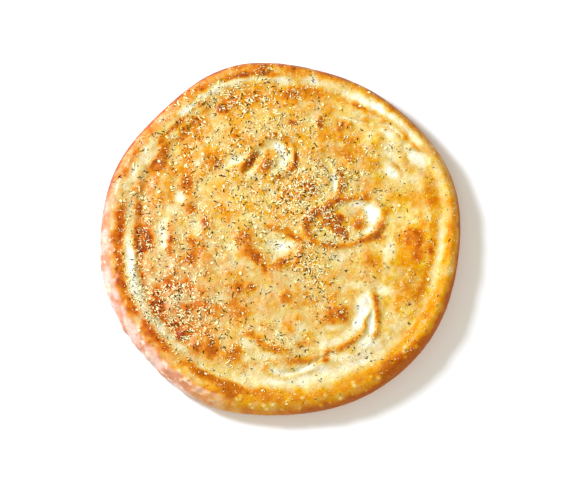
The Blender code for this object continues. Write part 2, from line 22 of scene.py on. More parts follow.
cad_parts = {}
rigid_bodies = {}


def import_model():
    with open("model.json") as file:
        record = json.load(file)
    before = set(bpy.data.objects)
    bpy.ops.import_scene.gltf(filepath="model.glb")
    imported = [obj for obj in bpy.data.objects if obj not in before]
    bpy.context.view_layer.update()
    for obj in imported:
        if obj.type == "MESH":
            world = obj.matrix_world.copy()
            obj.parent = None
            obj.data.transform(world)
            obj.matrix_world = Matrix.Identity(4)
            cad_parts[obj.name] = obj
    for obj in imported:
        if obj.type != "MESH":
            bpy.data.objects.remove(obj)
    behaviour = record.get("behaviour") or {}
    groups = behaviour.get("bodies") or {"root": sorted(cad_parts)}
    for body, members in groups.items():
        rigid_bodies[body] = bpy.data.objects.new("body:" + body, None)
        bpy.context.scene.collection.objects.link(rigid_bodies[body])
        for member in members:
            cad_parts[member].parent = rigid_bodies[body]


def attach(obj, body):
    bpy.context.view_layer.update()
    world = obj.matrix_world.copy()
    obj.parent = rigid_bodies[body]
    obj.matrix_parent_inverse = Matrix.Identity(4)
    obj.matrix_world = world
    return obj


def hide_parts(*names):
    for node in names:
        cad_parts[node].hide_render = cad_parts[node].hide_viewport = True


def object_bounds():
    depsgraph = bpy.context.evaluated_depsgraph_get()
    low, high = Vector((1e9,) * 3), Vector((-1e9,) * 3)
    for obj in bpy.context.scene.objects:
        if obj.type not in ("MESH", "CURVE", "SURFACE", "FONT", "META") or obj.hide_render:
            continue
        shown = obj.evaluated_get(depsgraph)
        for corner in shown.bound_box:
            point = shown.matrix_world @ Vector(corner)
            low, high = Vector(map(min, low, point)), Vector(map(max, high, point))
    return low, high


MM = 0.001
SEED = 41
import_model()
cad_low, cad_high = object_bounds()
print("solid model, mm:", [round((high - low) / MM, 1) for low, high in zip(cad_low, cad_high)])

# %% [markdown]
# ## Camera
#
# The bread is seen from almost straight above, by a camera that leans a little towards the near
# side. A long lens four metres away keeps the circle round. The lens follows from the
# size that the bread should have in the picture: the sensor's width stands for the picture's
# width, so one division gives the focal length.

# %% Place the camera
PICTURE_WIDTH = 563
PIXELS_PER_METRE = 1193.0
CAMERA_DISTANCE = 4.0
CAMERA_ELEVATION = math.radians(78.0)
SENSOR_WIDTH = 36.0
LOOK_AT = Vector((0.0010, -0.0018, 0.0))


def add_object(name, data):
    """Put a camera, a lamp or a mesh in the scene as an object at the origin."""
    obj = bpy.data.objects.new(name, data)
    bpy.context.scene.collection.objects.link(obj)
    return obj


def place_camera():
    """A long lens over the near edge of the bread."""
    data = bpy.data.cameras.new("camera")
    data.sensor_width = SENSOR_WIDTH
    data.lens = PIXELS_PER_METRE * CAMERA_DISTANCE * SENSOR_WIDTH / PICTURE_WIDTH
    camera = add_object("camera", data)
    back = Vector((0.0, -math.cos(CAMERA_ELEVATION), math.sin(CAMERA_ELEVATION)))
    camera.location = LOOK_AT + back * CAMERA_DISTANCE
    camera.rotation_euler = (-back).to_track_quat('-Z', 'Y').to_euler()
    bpy.context.scene.camera = camera
    return camera


camera = place_camera()
print("lens:", round(camera.data.lens, 1), "mm")

# %% [markdown]
# ## Light and floor
#
# A large soft lamp stands at the upper left, so that every slope which faces left is bright and
# every slope which faces right is in soft shade: that is what makes low folds readable. A much
# larger lamp at the near right and a pale world fill the shadows, so that the near rim glows
# too. The floor is plain and almost white.

# %% Light the bread
KEY_DIRECTION = Vector((-0.72, 0.40, 0.80)).normalized()
KEY_DISTANCE = 1.3
KEY_SIZE = 0.30
KEY_POWER = 20.8
KEY_COLOUR = (0.925, 0.995, 1.09)
FRONT_DIRECTION = Vector((0.35, -0.62, 0.85)).normalized()
FRONT_DISTANCE = 1.6
FRONT_SIZE = 1.4
FRONT_POWER = 8.5
FRONT_COLOUR = (1.0, 0.98, 0.92)
FILL_STRENGTH = 0.55
FILL_COLOUR = (1.0, 0.905, 0.70, 1.0)
FLOOR_SIZE = 6.0
FLOOR_COLOUR = (0.87, 0.90, 0.95, 1.0)
FLOOR_ROUGHNESS = 0.9
FLOOR_GAP = 0.0002


def soft_lamp(name, direction, distance, size, power, tint):
    """A square lamp that looks at the bread."""
    data = bpy.data.lights.new(name, 'AREA')
    data.size = size
    data.energy = power
    data.color = tint
    lamp = add_object(name, data)
    lamp.location = direction * distance
    lamp.rotation_euler = direction.to_track_quat('Z', 'Y').to_euler()


def pale_world(strength):
    """An even, pale surrounding light."""
    world = bpy.data.worlds.new("studio")
    world.use_nodes = True
    background = world.node_tree.nodes["Background"]
    background.inputs["Color"].default_value = FILL_COLOUR
    background.inputs["Strength"].default_value = strength
    bpy.context.scene.world = world


def mesh_from(work, name):
    """Turn a bmesh into a mesh."""
    mesh = bpy.data.meshes.new(name)
    work.to_mesh(mesh)
    work.free()
    return mesh


def pale_floor():
    """A plain floor just under the bread."""
    work = bmesh.new()
    bmesh.ops.create_grid(work, x_segments=1, y_segments=1, size=FLOOR_SIZE / 2)
    floor = add_object("floor", mesh_from(work, "floor"))
    floor.location.z = -FLOOR_GAP
    material = bpy.data.materials.new("floor")
    material.use_nodes = True
    sockets = material.node_tree.nodes["Principled BSDF"].inputs
    sockets["Base Color"].default_value = FLOOR_COLOUR
    sockets["Roughness"].default_value = FLOOR_ROUGHNESS
    floor.data.materials.append(material)
    return floor


soft_lamp("key", KEY_DIRECTION, KEY_DISTANCE, KEY_SIZE, KEY_POWER, KEY_COLOUR)
soft_lamp("front", FRONT_DIRECTION, FRONT_DISTANCE, FRONT_SIZE, FRONT_POWER, FRONT_COLOUR)
pale_world(FILL_STRENGTH)
floor = pale_floor()
bpy.context.scene.view_settings.view_transform = 'Standard'
print("key lamp from", [round(c, 2) for c in KEY_DIRECTION])

# %% [markdown]
# ## The outline and the rim
#
# A hand-stretched round is never a true circle. A mean radius and a few slow waves give its
# lumpy outline. The crest of the rim runs a little way in from that outline; at the near left
# the dough was pulled out further, so its wall is wider there. Behind the crest the crust slopes
# down into a shallow trough, which is deepest where fingertips pressed along the near edge.

# %% Outline and rim
MEAN_RADIUS = 150.5
# waves round the bread, depth, angle of a crest
OUTLINE_WAVES = (
    (1, 1.7, -100), (2, 0.4, 11), (3, 0.9, -10), (4, 0.8, 20), (5, 1.3, 28), (7, 0.4, 2), (8, 0.7, 19),
)
CREST_HEIGHT = 26.0
CRUMB_HEIGHT = 21.0
WIDEST_HEIGHT = 9.0
TUCK_WIDTH = 4.0
WALL_WIDTH = 7.5
# where the wall is wider: middle and spread in degrees, extra width
WALL_PULLS = ((222.0, 34.0, 6.0), (182.0, 20.0, 3.5), (275.0, 26.0, 2.5), (135.0, 26.0, 3.0))
# where the crest is lower: middle and spread in degrees, change of its height
CREST_PULLS = ((202.0, 40.0, -2.4), (150.0, 30.0, -0.8))
RIM_SLOPE_WIDTH = 15.5
# where the rim's inner slope is steeper: middle and spread in degrees, change of its width
SLOPE_PULLS = ((12.0, 52.0, -8.0), (280.0, 40.0, 3.0), (148.0, 45.0, 7.0), (212.0, 24.0, 3.0))
TROUGH_WIDTH = 5.5
TROUGH_DEPTH = 0.5
# where the trough is deeper: middle and spread in degrees, extra depth
TROUGH_PULLS = ((-72.0, 40.0, 1.3), (20.0, 50.0, 0.7), (195.0, 30.0, 0.2))
# size of the rim's own swells, and their height
RIM_SWELLS = (16.0, 1.1)
# how far the folds and dimples die away towards the crest of the rim
CREST_CALM = 0.6
LATTICE = 64
NOISE_GAIN = 1.6


def smooth_step(value):
    """Rise from 0 to 1 with level ends."""
    value = np.clip(value, 0.0, 1.0)
    return value * value * (3.0 - 2.0 * value)


def lattice_noise(x, y, size, seed):
    """Smooth random swelling, mostly between -1 and 1, with swells about `size` across."""
    slopes = np.random.RandomState(seed).uniform(0.0, 2 * math.pi, (LATTICE, LATTICE))
    turn_x, turn_y = math.cos(seed), math.sin(seed)
    u, v = (x * turn_x - y * turn_y) / size + seed, (x * turn_y + y * turn_x) / size + seed
    column, row = np.floor(u).astype(int), np.floor(v).astype(int)
    u, v = u - column, v - row
    sides = []
    for up in (0, 1):
        pair = []
        for right in (0, 1):
            slope = slopes[(row + up) % LATTICE, (column + right) % LATTICE]
            pair.append(np.cos(slope) * (u - right) + np.sin(slope) * (v - up))
        sides.append(pair[0] + (pair[1] - pair[0]) * smooth_step(u))
    return NOISE_GAIN * (sides[0] + (sides[1] - sides[0]) * smooth_step(v))


def outline_radius(angle):
    """Radius in millimetres of the widest line of the bread."""
    radius = np.full_like(angle, MEAN_RADIUS)
    for count, depth, crest in OUTLINE_WAVES:
        radius += depth * np.cos(count * (angle - math.radians(crest)))
    return radius


def angle_share(angle, middle, spread, power=2):
    """1 at an angle round the bread, dying away on both sides."""
    away = np.angle(np.exp(1j * (angle - math.radians(middle))))
    return np.exp(-np.abs(away / math.radians(spread)) ** power)


def pulled(angle, usual, pulls):
    """A width or depth that changes at places round the bread."""
    return usual + sum(extra * angle_share(angle, middle, spread) for middle, spread, extra in pulls)


def wall_width(angle):
    """How far in from the outline the crest of the rim lies."""
    return pulled(angle, WALL_WIDTH, WALL_PULLS)


round_angles = np.radians(np.arange(0.0, 360.0, 1.0))
print("outline radius, mm:", outline_radius(round_angles).min().round(1), "to",
      outline_radius(round_angles).max().round(1))

# %% [markdown]
# ## Folds, dimples, the crater and bubbles
#
# What fingers and steam leave in the dough is not random everywhere: there are a few features
# that anyone would recognise this bread by. Each is a row of named numbers: a swell or dimple is
# a turned oval, and a fold is a ridge along a short curve with a valley beside it. The rest is
# random swelling in several sizes. All the places are first shifted a little by a slow noise, so
# that no fold runs like a drawn line.

# %% Folds, dimples and bubbles
# centre x, y, half sizes, height (negative for a dimple), and a turn in degrees where there is one
SWELLS = (
    (-99, 70, 6, 15, 2.4, -12), (-110, 78, 4, 6, 1.2), (-114, -5, 7, 11, 1.6, 5), (-99, 2, 4, 15, -1.6),
    (-90, -2, 4, 14, 1.6, 2), (-85, 33, 5, 6, -1.3), (-77, 26, 6, 13, 1.5, 8), (-71, 8, 4, 7, -1.1),
    (-63, 8, 5, 9, 1.4), (-12, 58, 7, 10, 2.2), (-40, 62, 16, 4, -1.6, 28), (-46, 75, 12, 6, 1, 12),
    (-38, 48, 14, 6, 1.2, 15), (-1, -10, 13, 14, -3.2), (-30, -5, 9, 9, 2.2, 25),
    (-20, -20, 11, 6, 2.6, -48), (0, -26, 10, 5, 2, 32), (-40, -15, 8, 10, -1.2), (102, 62, 9, 8, -0.8),
    (113, -8, 15, 22, 1.8), (48, -68, 12, 9, 2, 15), (20, -78, 18, 10, 1, 20), (18, -104, 14, 5, 1.4, -2),
    (-60, -45, 30, 26, 0.9, 30), (-60, -97, 15, 7, 1.6, -8), (-38, -101, 7, 9, 1.4),
    (0, 114, 40, 10, 1.2, -5), (4, 131, 10, 4, -1.6, -8), (28, 130, 9, 4, -1.4, -14),
    (78, 82, 16, 9, 1.2, -30), (98, -62, 12, 20, 0.9, -10), (85, -46, 7, 4, -1.2), (75, -22, 9, 7, 1.4),
    (-76, 96, 10, 8, 1.3, 30), (-88, 96, 7, 5, 1, 45), (-56, 63, 8, 8, 1.2), (35, 75, 14, 9, 0.9, 10),
)
# path points, ridge height and width, then the depth, offset and width of a valley on its left
FOLDS = (
    (((-14, 45), (-4, 49), (5, 53), (10, 60), (11, 68), (9, 76), (4, 82), (-6, 85), (-17, 82)),
     2.2, 2.8, 2.4, 7.5, 4.6),
    (((3, 69), (5, 73), (4, 78)), 1.0, 1.5),
    (((44, 33), (49, 36), (52, 43), (50, 51), (44, 57)), 2.0, 2.3, 2.0, 5.2, 3.2),
    (((27, 50), (29, 56), (28, 61)), 1.0, 1.5, 0.6, 2.5, 1.5),
    (((33, 49), (35, 54), (33, 60)), 1.0, 1.5, 0.6, 2.5, 1.5),
    (((18, 46), (26, 40), (33, 36)), 1.0, 3.0),
    (((31, -103), (40, -98), (50, -95), (58, -91), (66, -86), (70, -79), (71, -72), (75, -64), (78, -57)),
     1.7, 2.4, 0.9, 9.0, 6.0),
    (((74, -90), (79, -82), (81, -74), (81, -65), (79, -55), (75, -48)), 1.9, 2.4, 1.5, 5.0, 3.0),
    (((-14, -111), (-6, -118), (4, -121), (16, -118), (30, -112), (42, -106)), 1.2, 2.8, 1.6, 4.0, 2.0),
    (((-30, -80), (-17, -91), (-2, -97), (12, -103)), 1.6, 4.5),
    (((58, 113), (77, 106), (90, 99), (102, 88), (113, 77), (124, 68)), 1.6, 2.0, 1.2, 4.6, 2.8),
    (((74, 96), (84, 92), (96, 86), (101, 80)), 1.3, 2.0, 1.0, -4.4, 2.4),
    (((92, 66), (99, 61), (104, 55)), 0.0, 1.0, 1.2, 0.0, 1.8),
    (((43, 107), (58, 102), (75, 98), (89, 97), (100, 91), (105, 85), (100, 79)), 1.3, 2.1, 1.3, -4.6, 2.8),
    (((106, 76), (117, 73), (125, 66), (127, 57)), 1.6, 2.0, 1.5, -4.8, 2.8),
    (((-28, 52), (-22, 63), (-15, 74)), 0.0, 1.0, 3.2, 0.0, 2.6),
    (((-33, 56), (-28, 66), (-22, 76), (-14, 79)), 1.2, 2.4),
    (((-11, 70), (-16, 78), (-26, 84)), 0.9, 2.0),
    (((14, -26), (17, -14), (16, -5), (6, 2), (-8, 7)), 1.6, 3.2),
    (((52, 24), (61, 21), (68, 20), (71, 14)), 1.0, 2.0),
    (((-94, 96), (-79, 109), (-62, 121), (-45, 128), (-34, 131)), 1.0, 1.8),
    (((-116, 60), (-120, 40), (-121, 20), (-121, -10), (-122, -35), (-117, -55)), 0.8, 3.2, 0.8, 6.5, 4.0),
    (((-96, -38), (-84, -22), (-74, -20)), 0.9, 3.5),
    (((60, 95), (52, 93), (46, 88)), 0.9, 3.0),
)
FOLD_STRENGTH = 1.25
FOLD_TAPER = 5.0
FOLD_END_SHARE = 0.25
CRATER_CENTRE = (54.5, 10.5)
CRATER_HALF_SIZE = (33.5, 19.5)
CRATER_TURN = 13.0
CRATER_LIP_HEIGHT = 1.7
CRATER_LIP_WIDTH = 2.6
CRATER_DEPTH = 2.3
CRATER_SLOPE_SHARE = 0.42
CRATER_ISLANDS = ((44, 13, 11, 4.5, 2, 10), (52, 1, 7, 6, 2, -35), (66, 9, 6, 5, 1.8, 15))
# x, y, radius of each baked bubble
BUBBLES = (
    (-49, 109, 4.5), (-67, 113, 3.5), (33, 96, 4), (-103, -59, 5), (-83, -85, 4), (-26, -44, 4.5),
    (4, -53, 5), (-118, 39, 4), (109, 1, 5.5), (-44, -18, 4), (-62, -20, 5), (88, -24, 6), (58, 92, 4),
    (-66, 62, 4),
)
BUBBLE_HEIGHT = 1.2
# size of a swell and its height
CRUST_NOISE = ((40.0, 1.1), (22.0, 0.9), (12.0, 0.7), (7.0, 0.48), (4.0, 0.28))
WANDER_NOISE = ((17.0, 1.0), (7.0, 0.6), (3.5, 0.4))
print("named features:", len(SWELLS) + len(FOLDS) + len(BUBBLES))


# %% The height of the crust
def oval(x, y, centre_x, centre_y, half_x, half_y, turn=0.0):
    """Distance from a centre, measured so that the turned oval's edge is at 1."""
    c, s = math.cos(math.radians(turn)), math.sin(math.radians(turn))
    along = ((x - centre_x) * c + (y - centre_y) * s) / half_x
    across = ((y - centre_y) * c - (x - centre_x) * s) / half_y
    return np.hypot(along, across)


def add_ovals(values, x, y, rows, crispness=2, strength=1.0):
    """Add a soft oval to the values for each row: centre x, y, half sizes, amount, perhaps a turn."""
    for centre_x, centre_y, half_x, half_y, amount, *turn in rows:
        near = oval(x, y, centre_x, centre_y, half_x, half_y, *turn)
        values += strength * amount * np.exp(-near ** crispness)


def curve_points(points, steps=8):
    """Smooth curve through a few points."""
    points = np.array(points, float)
    ends = np.vstack((2 * points[0] - points[1], points, 2 * points[-1] - points[-2]))
    curve = []
    for first, start, end, last in zip(ends, ends[1:], ends[2:], ends[3:]):
        for t in np.arange(steps) / steps:
            curve.append(0.5 * (2 * start + (end - first) * t
                                + (2 * first - 5 * start + 4 * end - last) * t ** 2
                                + (3 * start - first - 3 * end + last) * t ** 3))
    curve.append(points[-1])
    return np.array(curve)


def fold_height(x, y, path, ridge, ridge_width, valley=0.0, offset=0.0, valley_width=1.0):
    """A ridge along a path, perhaps with a valley beside it, that die away at the path's ends."""
    curve = curve_points(path)
    nearest = np.full(x.shape, np.inf)
    side = np.zeros(x.shape)
    place = np.zeros(x.shape)
    for index, (start, end) in enumerate(zip(curve, curve[1:])):
        step = end - start
        share = ((x - start[0]) * step[0] + (y - start[1]) * step[1]) / (step @ step)
        share = np.clip(share, 0.0, 1.0)
        gap_x, gap_y = x - start[0] - share * step[0], y - start[1] - share * step[1]
        gap = np.hypot(gap_x, gap_y)
        closer = gap < nearest
        nearest = np.where(closer, gap, nearest)
        side = np.where(closer, np.sign(step[0] * gap_y - step[1] * gap_x) * gap, side)
        place = np.where(closer, (index + share) / (len(curve) - 1), place)
    taper = smooth_step(place * FOLD_TAPER + FOLD_END_SHARE)
    taper *= smooth_step((1.0 - place) * FOLD_TAPER + FOLD_END_SHARE)
    height = ridge * np.exp(-(nearest / ridge_width) ** 2)
    height -= valley * np.exp(-((side - offset) / valley_width) ** 2) * (nearest < offset + 3 * valley_width)
    return height * taper


def wander(x, y):
    """Shift places a little, by slow noise."""
    shift_x, shift_y = np.zeros_like(x), np.zeros_like(y)
    for size, reach in WANDER_NOISE:
        shift_x += reach * lattice_noise(x, y, size, SEED + 61)
        shift_y += reach * lattice_noise(x, y, size, SEED + 62)
    return x + shift_x, y + shift_y


def crust_relief(x, y):
    """Height of the folds, dimples, crater and bubbles at a place, all in millimetres."""
    height = np.zeros_like(x)
    for size, amount in CRUST_NOISE:
        height += amount * lattice_noise(x, y, size, SEED + int(size))
    x, y = wander(x, y)
    add_ovals(height, x, y, SWELLS + CRATER_ISLANDS)
    for fold in FOLDS:
        height += FOLD_STRENGTH * fold_height(x, y, *fold)
    ring = oval(x, y, *CRATER_CENTRE, *CRATER_HALF_SIZE, CRATER_TURN)
    lip_width = CRATER_LIP_WIDTH / min(CRATER_HALF_SIZE)
    height += CRATER_LIP_HEIGHT * np.exp(-((ring - 1.0) / lip_width) ** 2)
    height -= CRATER_DEPTH * smooth_step((1.0 - ring) / CRATER_SLOPE_SHARE)
    for centre_x, centre_y, radius in BUBBLES:
        height += BUBBLE_HEIGHT * np.exp(-(np.hypot(x - centre_x, y - centre_y) / radius) ** 4)
    return height


def top_height(x, y):
    """Height of the top crust, from the crest of the rim inwards."""
    angle = np.arctan2(y, x)
    inward = outline_radius(angle) - np.hypot(x, y) - wall_width(angle)
    slope = pulled(angle, RIM_SLOPE_WIDTH, SLOPE_PULLS)
    rim = 1.0 - smooth_step(inward / slope)
    crest = pulled(angle, CREST_HEIGHT, CREST_PULLS)
    height = CRUMB_HEIGHT + (crest - CRUMB_HEIGHT) * rim
    height += RIM_SWELLS[1] * rim * lattice_noise(x, y, RIM_SWELLS[0], SEED + 5)
    trough = pulled(angle, TROUGH_DEPTH, TROUGH_PULLS)
    height -= trough * np.exp(-((inward - slope) / TROUGH_WIDTH) ** 2)
    return height + crust_relief(x, y) * (1.0 - CREST_CALM * rim)


print("height in the crater, mm:", top_height(*np.array(CRATER_CENTRE)[:, None]).round(1))

# %% [markdown]
# ## The crust as a mesh
#
# A grid of squares would show steps along the round rim, and a polar grid would crowd its points
# at the centre. Rings that gain six points each keep every triangle about a millimetre across
# all over the top. From the crest outwards the rings follow the rounded wall, roll under, and
# close the flat underside. Last comes the skin: small blisters on the near side of the rim and a
# fine roughness, both pushed out along the surface, so that they are as round on the wall as on
# the top.

# %% Build the crust
TOP_RINGS = 146
WALL_RINGS = 22
TUCK_RINGS = 6
UNDER_RINGS = 3
BLISTER_COUNT = 40
BLISTER_ANGLES = (233.0, 321.0)
BLISTER_INSET = (1.0, 12.0)
BLISTER_RADIUS = (1.3, 2.1)
BLISTER_HEIGHT = 0.8
# x, y, radius and height of the few large bubbles of the rim
RIM_BUBBLES = ((-15.5, 141.5, 5.0, 1.6), (-141.0, 30.0, 4.0, 0.8), (129.0, -66.0, 5.0, 0.7))
SKIN_NOISE = ((3.2, 0.12), (1.9, 0.07))
PLEAT_SIZE = 9.0
PLEAT_HEIGHT = 1.5
PLEAT_ANGLES = (218.0, 38.0)
PLEAT_REACH = 14.0
# the skin is smooth below this height
SKIN_FADE = 3.0


def top_points():
    """Places of the top's vertices, and where each ring of them starts."""
    points, starts = [np.zeros((1, 2))], [0]
    for ring in range(1, TOP_RINGS + 1):
        starts.append(sum(len(part) for part in points))
        angles = np.arange(6 * ring) * 2 * math.pi / (6 * ring)
        radius = (outline_radius(angles) - wall_width(angles)) * ring / TOP_RINGS
        points.append(np.column_stack((radius * np.cos(angles), radius * np.sin(angles))))
    return np.vstack(points), starts


def top_faces(starts):
    """Triangles between each ring and the next."""
    faces = [(0, 1 + i, 1 + (i + 1) % 6) for i in range(6)]
    for ring in range(1, TOP_RINGS):
        inner, outer = starts[ring], starts[ring + 1]
        for sector in range(6):
            for i in range(ring + 1):
                here = inner + (sector * ring + i) % (6 * ring)
                right = outer + (sector * (ring + 1) + i + 1) % (6 * ring + 6)
                faces.append((here, outer + sector * (ring + 1) + i, right))
                if i < ring:
                    faces.append((here, right, inner + (sector * ring + i + 1) % (6 * ring)))
    return faces


def side_rings(crest_angles, crest_height):
    """Radius and height of each ring down the wall, under the edge and across the underside."""
    outline, width = outline_radius(crest_angles), wall_width(crest_angles)
    level = np.zeros_like(outline)
    rings = []
    for turn in np.linspace(0.0, math.pi / 2, WALL_RINGS + 1)[1:]:
        rings.append((outline - width * (1.0 - math.sin(turn)),
                      WIDEST_HEIGHT + (crest_height - WIDEST_HEIGHT) * math.cos(turn)))
    for turn in np.linspace(0.0, math.pi / 2, TUCK_RINGS + 1)[1:]:
        rings.append((outline - TUCK_WIDTH * (1.0 - math.cos(turn)),
                      level + WIDEST_HEIGHT * (1.0 - math.sin(turn))))
    for share in np.linspace(1.0, 0.0, UNDER_RINGS + 1)[1:-1]:
        rings.append(((outline - TUCK_WIDTH) * share, level))
    return rings


def crust_mesh():
    """The whole closed crust, in millimetres."""
    flat, starts = top_points()
    vertices = np.column_stack((flat, top_height(flat[:, 0], flat[:, 1])))
    faces = top_faces(starts)
    crest = vertices[starts[TOP_RINGS]:]
    count = len(crest)
    angles = np.arctan2(crest[:, 1], crest[:, 0])
    parts = [vertices]
    inner = starts[TOP_RINGS]
    for radius, height in side_rings(angles, crest[:, 2]):
        parts.append(np.column_stack((radius * np.cos(angles), radius * np.sin(angles), height)))
        for i in range(count):
            following = (i + 1) % count
            faces.append((inner + i, inner + count + i, inner + count + following, inner + following))
        inner += count
    parts.append(np.zeros((1, 3)))
    faces.extend((inner + i, inner + count, inner + (i + 1) % count) for i in range(count))
    mesh = bpy.data.meshes.new("crust")
    mesh.from_pydata(np.vstack(parts).tolist(), [], faces)
    return mesh


def vertex_array(mesh, field="co"):
    """The places or normals of a mesh's vertices, as rows."""
    values = np.empty(len(mesh.vertices) * 3)
    mesh.vertices.foreach_get(field, values)
    return values.reshape(-1, 3)


def rim_blisters():
    """Where the blisters and bubbles of the rim sit, with their radii and heights."""
    draw = np.random.RandomState(SEED + 3)
    blisters = []
    for _ in range(BLISTER_COUNT):
        angle = math.radians(draw.uniform(*BLISTER_ANGLES))
        radius = float(outline_radius(np.array([angle]))[0]) - draw.uniform(*BLISTER_INSET)
        blisters.append((radius * math.cos(angle), radius * math.sin(angle),
                         draw.uniform(*BLISTER_RADIUS), BLISTER_HEIGHT))
    return blisters


def bumps(places, blisters):
    """How far each place is pushed out by round bumps, wherever on the rim they sit."""
    upper = places[:, 2] > WIDEST_HEIGHT
    rise = np.zeros(len(places))
    for x, y, radius, height in blisters:
        away = np.hypot(places[:, 0] - x, places[:, 1] - y)
        centre = places[np.argmin(np.where(upper, away, np.inf))]
        near = np.linalg.norm(places - centre, axis=1)
        rise = np.maximum(rise, height * np.exp(-(near / radius) ** 3))
    return rise


def raise_skin(mesh):
    """Push pleats, blisters and fine roughness out along the surface."""
    places, normals = vertex_array(mesh), vertex_array(mesh, "normal")
    x, y, z = places.T
    angle = np.arctan2(y, x)
    inset = outline_radius(angle) - np.hypot(x, y)
    rise = bumps(places, rim_blisters()) + bumps(places, RIM_BUBBLES)
    pleats = PLEAT_HEIGHT * lattice_noise(x, y, PLEAT_SIZE, SEED + 9)
    rise += pleats * angle_share(angle, *PLEAT_ANGLES, 4) * np.exp(-(inset / PLEAT_REACH) ** 4)
    for size, amount in SKIN_NOISE:
        rise += amount * lattice_noise(x + z, y - z, size, SEED + 8)
    rise *= smooth_step(z / SKIN_FADE)
    mesh.vertices.foreach_set("co", (places + normals * rise[:, None]).ravel())


crust = add_object("crust", crust_mesh())
raise_skin(crust.data)
crust.data.shade_smooth()
crust_places = vertex_array(crust.data)
print("crust:", len(crust.data.vertices), "vertices,", len(crust.data.polygons), "faces")

# %% [markdown]
# ## Where the crust browned
#
# Heat browns what stands up and leaves pale what lies low, so the first guess for the colour is
# the relief itself, compared with the same relief smoothed. The rim has its own bands: orange
# along the crest, cream in the trough behind it, almost raw dough on the pulled-out near left,
# a painted shadow that darkens the very edge, and painted light on the near right wall. Then come
# the patches a real oven leaves, which no rule gives, and some painted light: white glints of oil
# in hollows, paler tops on the rim's blisters, and painted shade in one crease and on the crater's
# upper lip. Each is a soft oval with an amount, brown or pale. One number for each vertex, the
# bake, holds all of this, the painted light and shade included.

# %% Bands round the rim
# Some rows are painted light: the rows at the outline darken the very edge, browning and a painted shadow
# together, and the pale row at 300 degrees, 5.5 in, paints light on the near right wall, which faces away
# from the lamp.
# middle and half spread in degrees, distance in from the outline, half width, amount
RIM_BANDS = (
    (0, 62, -0.5, 2.6, 0.45), (0, 62, 5, 4, 0.08), (350, 24, 16, 4.5, -0.12), (356, 16, 27, 4, -0.2),
    (352, 26, 8, 3, 0.14), (346, 18, 27, 4, -0.04), (38, 34, 11, 3, -0.22), (62, 22, 14, 3, -0.26),
    (62, 8, 19, 3, 0.22), (36, 16, 14, 1.3, 0.12), (-12, 18, 25, 4, 0.12), (28, 18, 30, 6, -0.15),
    (64, 18, 1, 2.5, 0.24), (90, 26, 5, 8, 0.18), (82, 14, 17, 4, 0.16), (78, 34, 0.5, 2.5, 0.42),
    (112, 24, 28, 8, 0.1), (137, 30, 6, 8, 0.18), (145, 50, 0.5, 2.2, 0.54), (114, 26, 16, 2.6, -0.5),
    (156, 12, 17, 4, -0.5), (151, 7, 27, 3, 0.28), (172, 14, 13, 7, 0.13), (170, 10, 17, 3, 0.2),
    (193, 9, 25, 4.5, -0.38), (186, 12, 32, 3, 0.2), (210, 36, 15, 4.5, 0.06), (200, 48, 24, 5, -0.16),
    (204, 30, 30, 5, 0.3), (196, 30, 1, 4, 0.1), (246, 12, 13, 13, 0.04), (290, 48, 7, 11, 0.28),
    (308, 38, -0.5, 2.6, 0.3), (184, 12, 0, 4, 0.16), (190, 16, 14, 8, 0.14), (4, 10, 14, 12, 0.1),
    (142, 14, 18, 3, 0.18), (246, 10, 20, 3, 0.18), (240, 7, 12, 3, -0.14), (320, 9, 10, 4, -0.18),
    (314, 10, 26, 3.5, 0.14), (351, 7, 23, 3, 0.16), (106, 8, 13, 2.6, 0.12), (100, 9, 13, 2.6, 0.28),
    (148, 12, 13, 5, 0.16), (136, 22, 23, 3, -0.15), (255, 14, 17, 4, 0.16), (325, 14, 15, 4, 0.14),
    (341, 8, 25, 3.5, 0.18), (358, 8, 16, 3, -0.12), (110, 8, 4, 4, -0.14), (40, 8, 19, 3, -0.18),
    (44, 14, 6, 3, 0.12), (52, 12, 0, 3, 0.16), (168, 8, 8, 4, -0.14), (175, 8, 16.5, 3, 0.18),
    (316, 12, 8, 8, 0.14), (300, 50, 5.5, 3, -0.2), (290, 40, 26, 7.5, -0.36), (135, 14, 19, 3, 0.2),
    (198, 22, 25, 4, -0.16), (214, 24, 5, 5, 0.14), (100, 10, 13, 3, 0.14), (336, 20, 8, 4, -0.16),
    (355, 16, 17.5, 4, -0.14), (320, 9, 12, 4, -0.15), (290, 22, 10, 5, -0.08), (100, 12, 9, 4, -0.2),
    (172, 10, 11, 3, -0.16), (172, 12, -0.5, 4, -0.1), (130, 8, 14.5, 4, -0.18), (151, 6, 5, 4, -0.14),
    (183, 12, 18, 4, 0.16), (192, 8, 26.5, 4, -0.16), (220, 9, 17, 3, 0.16), (250, 20, 19, 3, 0.1),
    (44, 16, 13, 3, -0.12), (50, 14, 23.5, 4, -0.12), (10, 20, 4, 4, -0.08), (314, 10, 7, 4, 0.2),
    (182, 14, 22, 4, 0.12), (198, 10, 16, 3, 0.12), (240, 8, 14.5, 3, -0.14), (242, 10, 21, 3, 0.14),
    (94, 12, 3, 5, 0.12), (350, 12, 11, 4, 0.1),
)
print("bands:", len(RIM_BANDS))
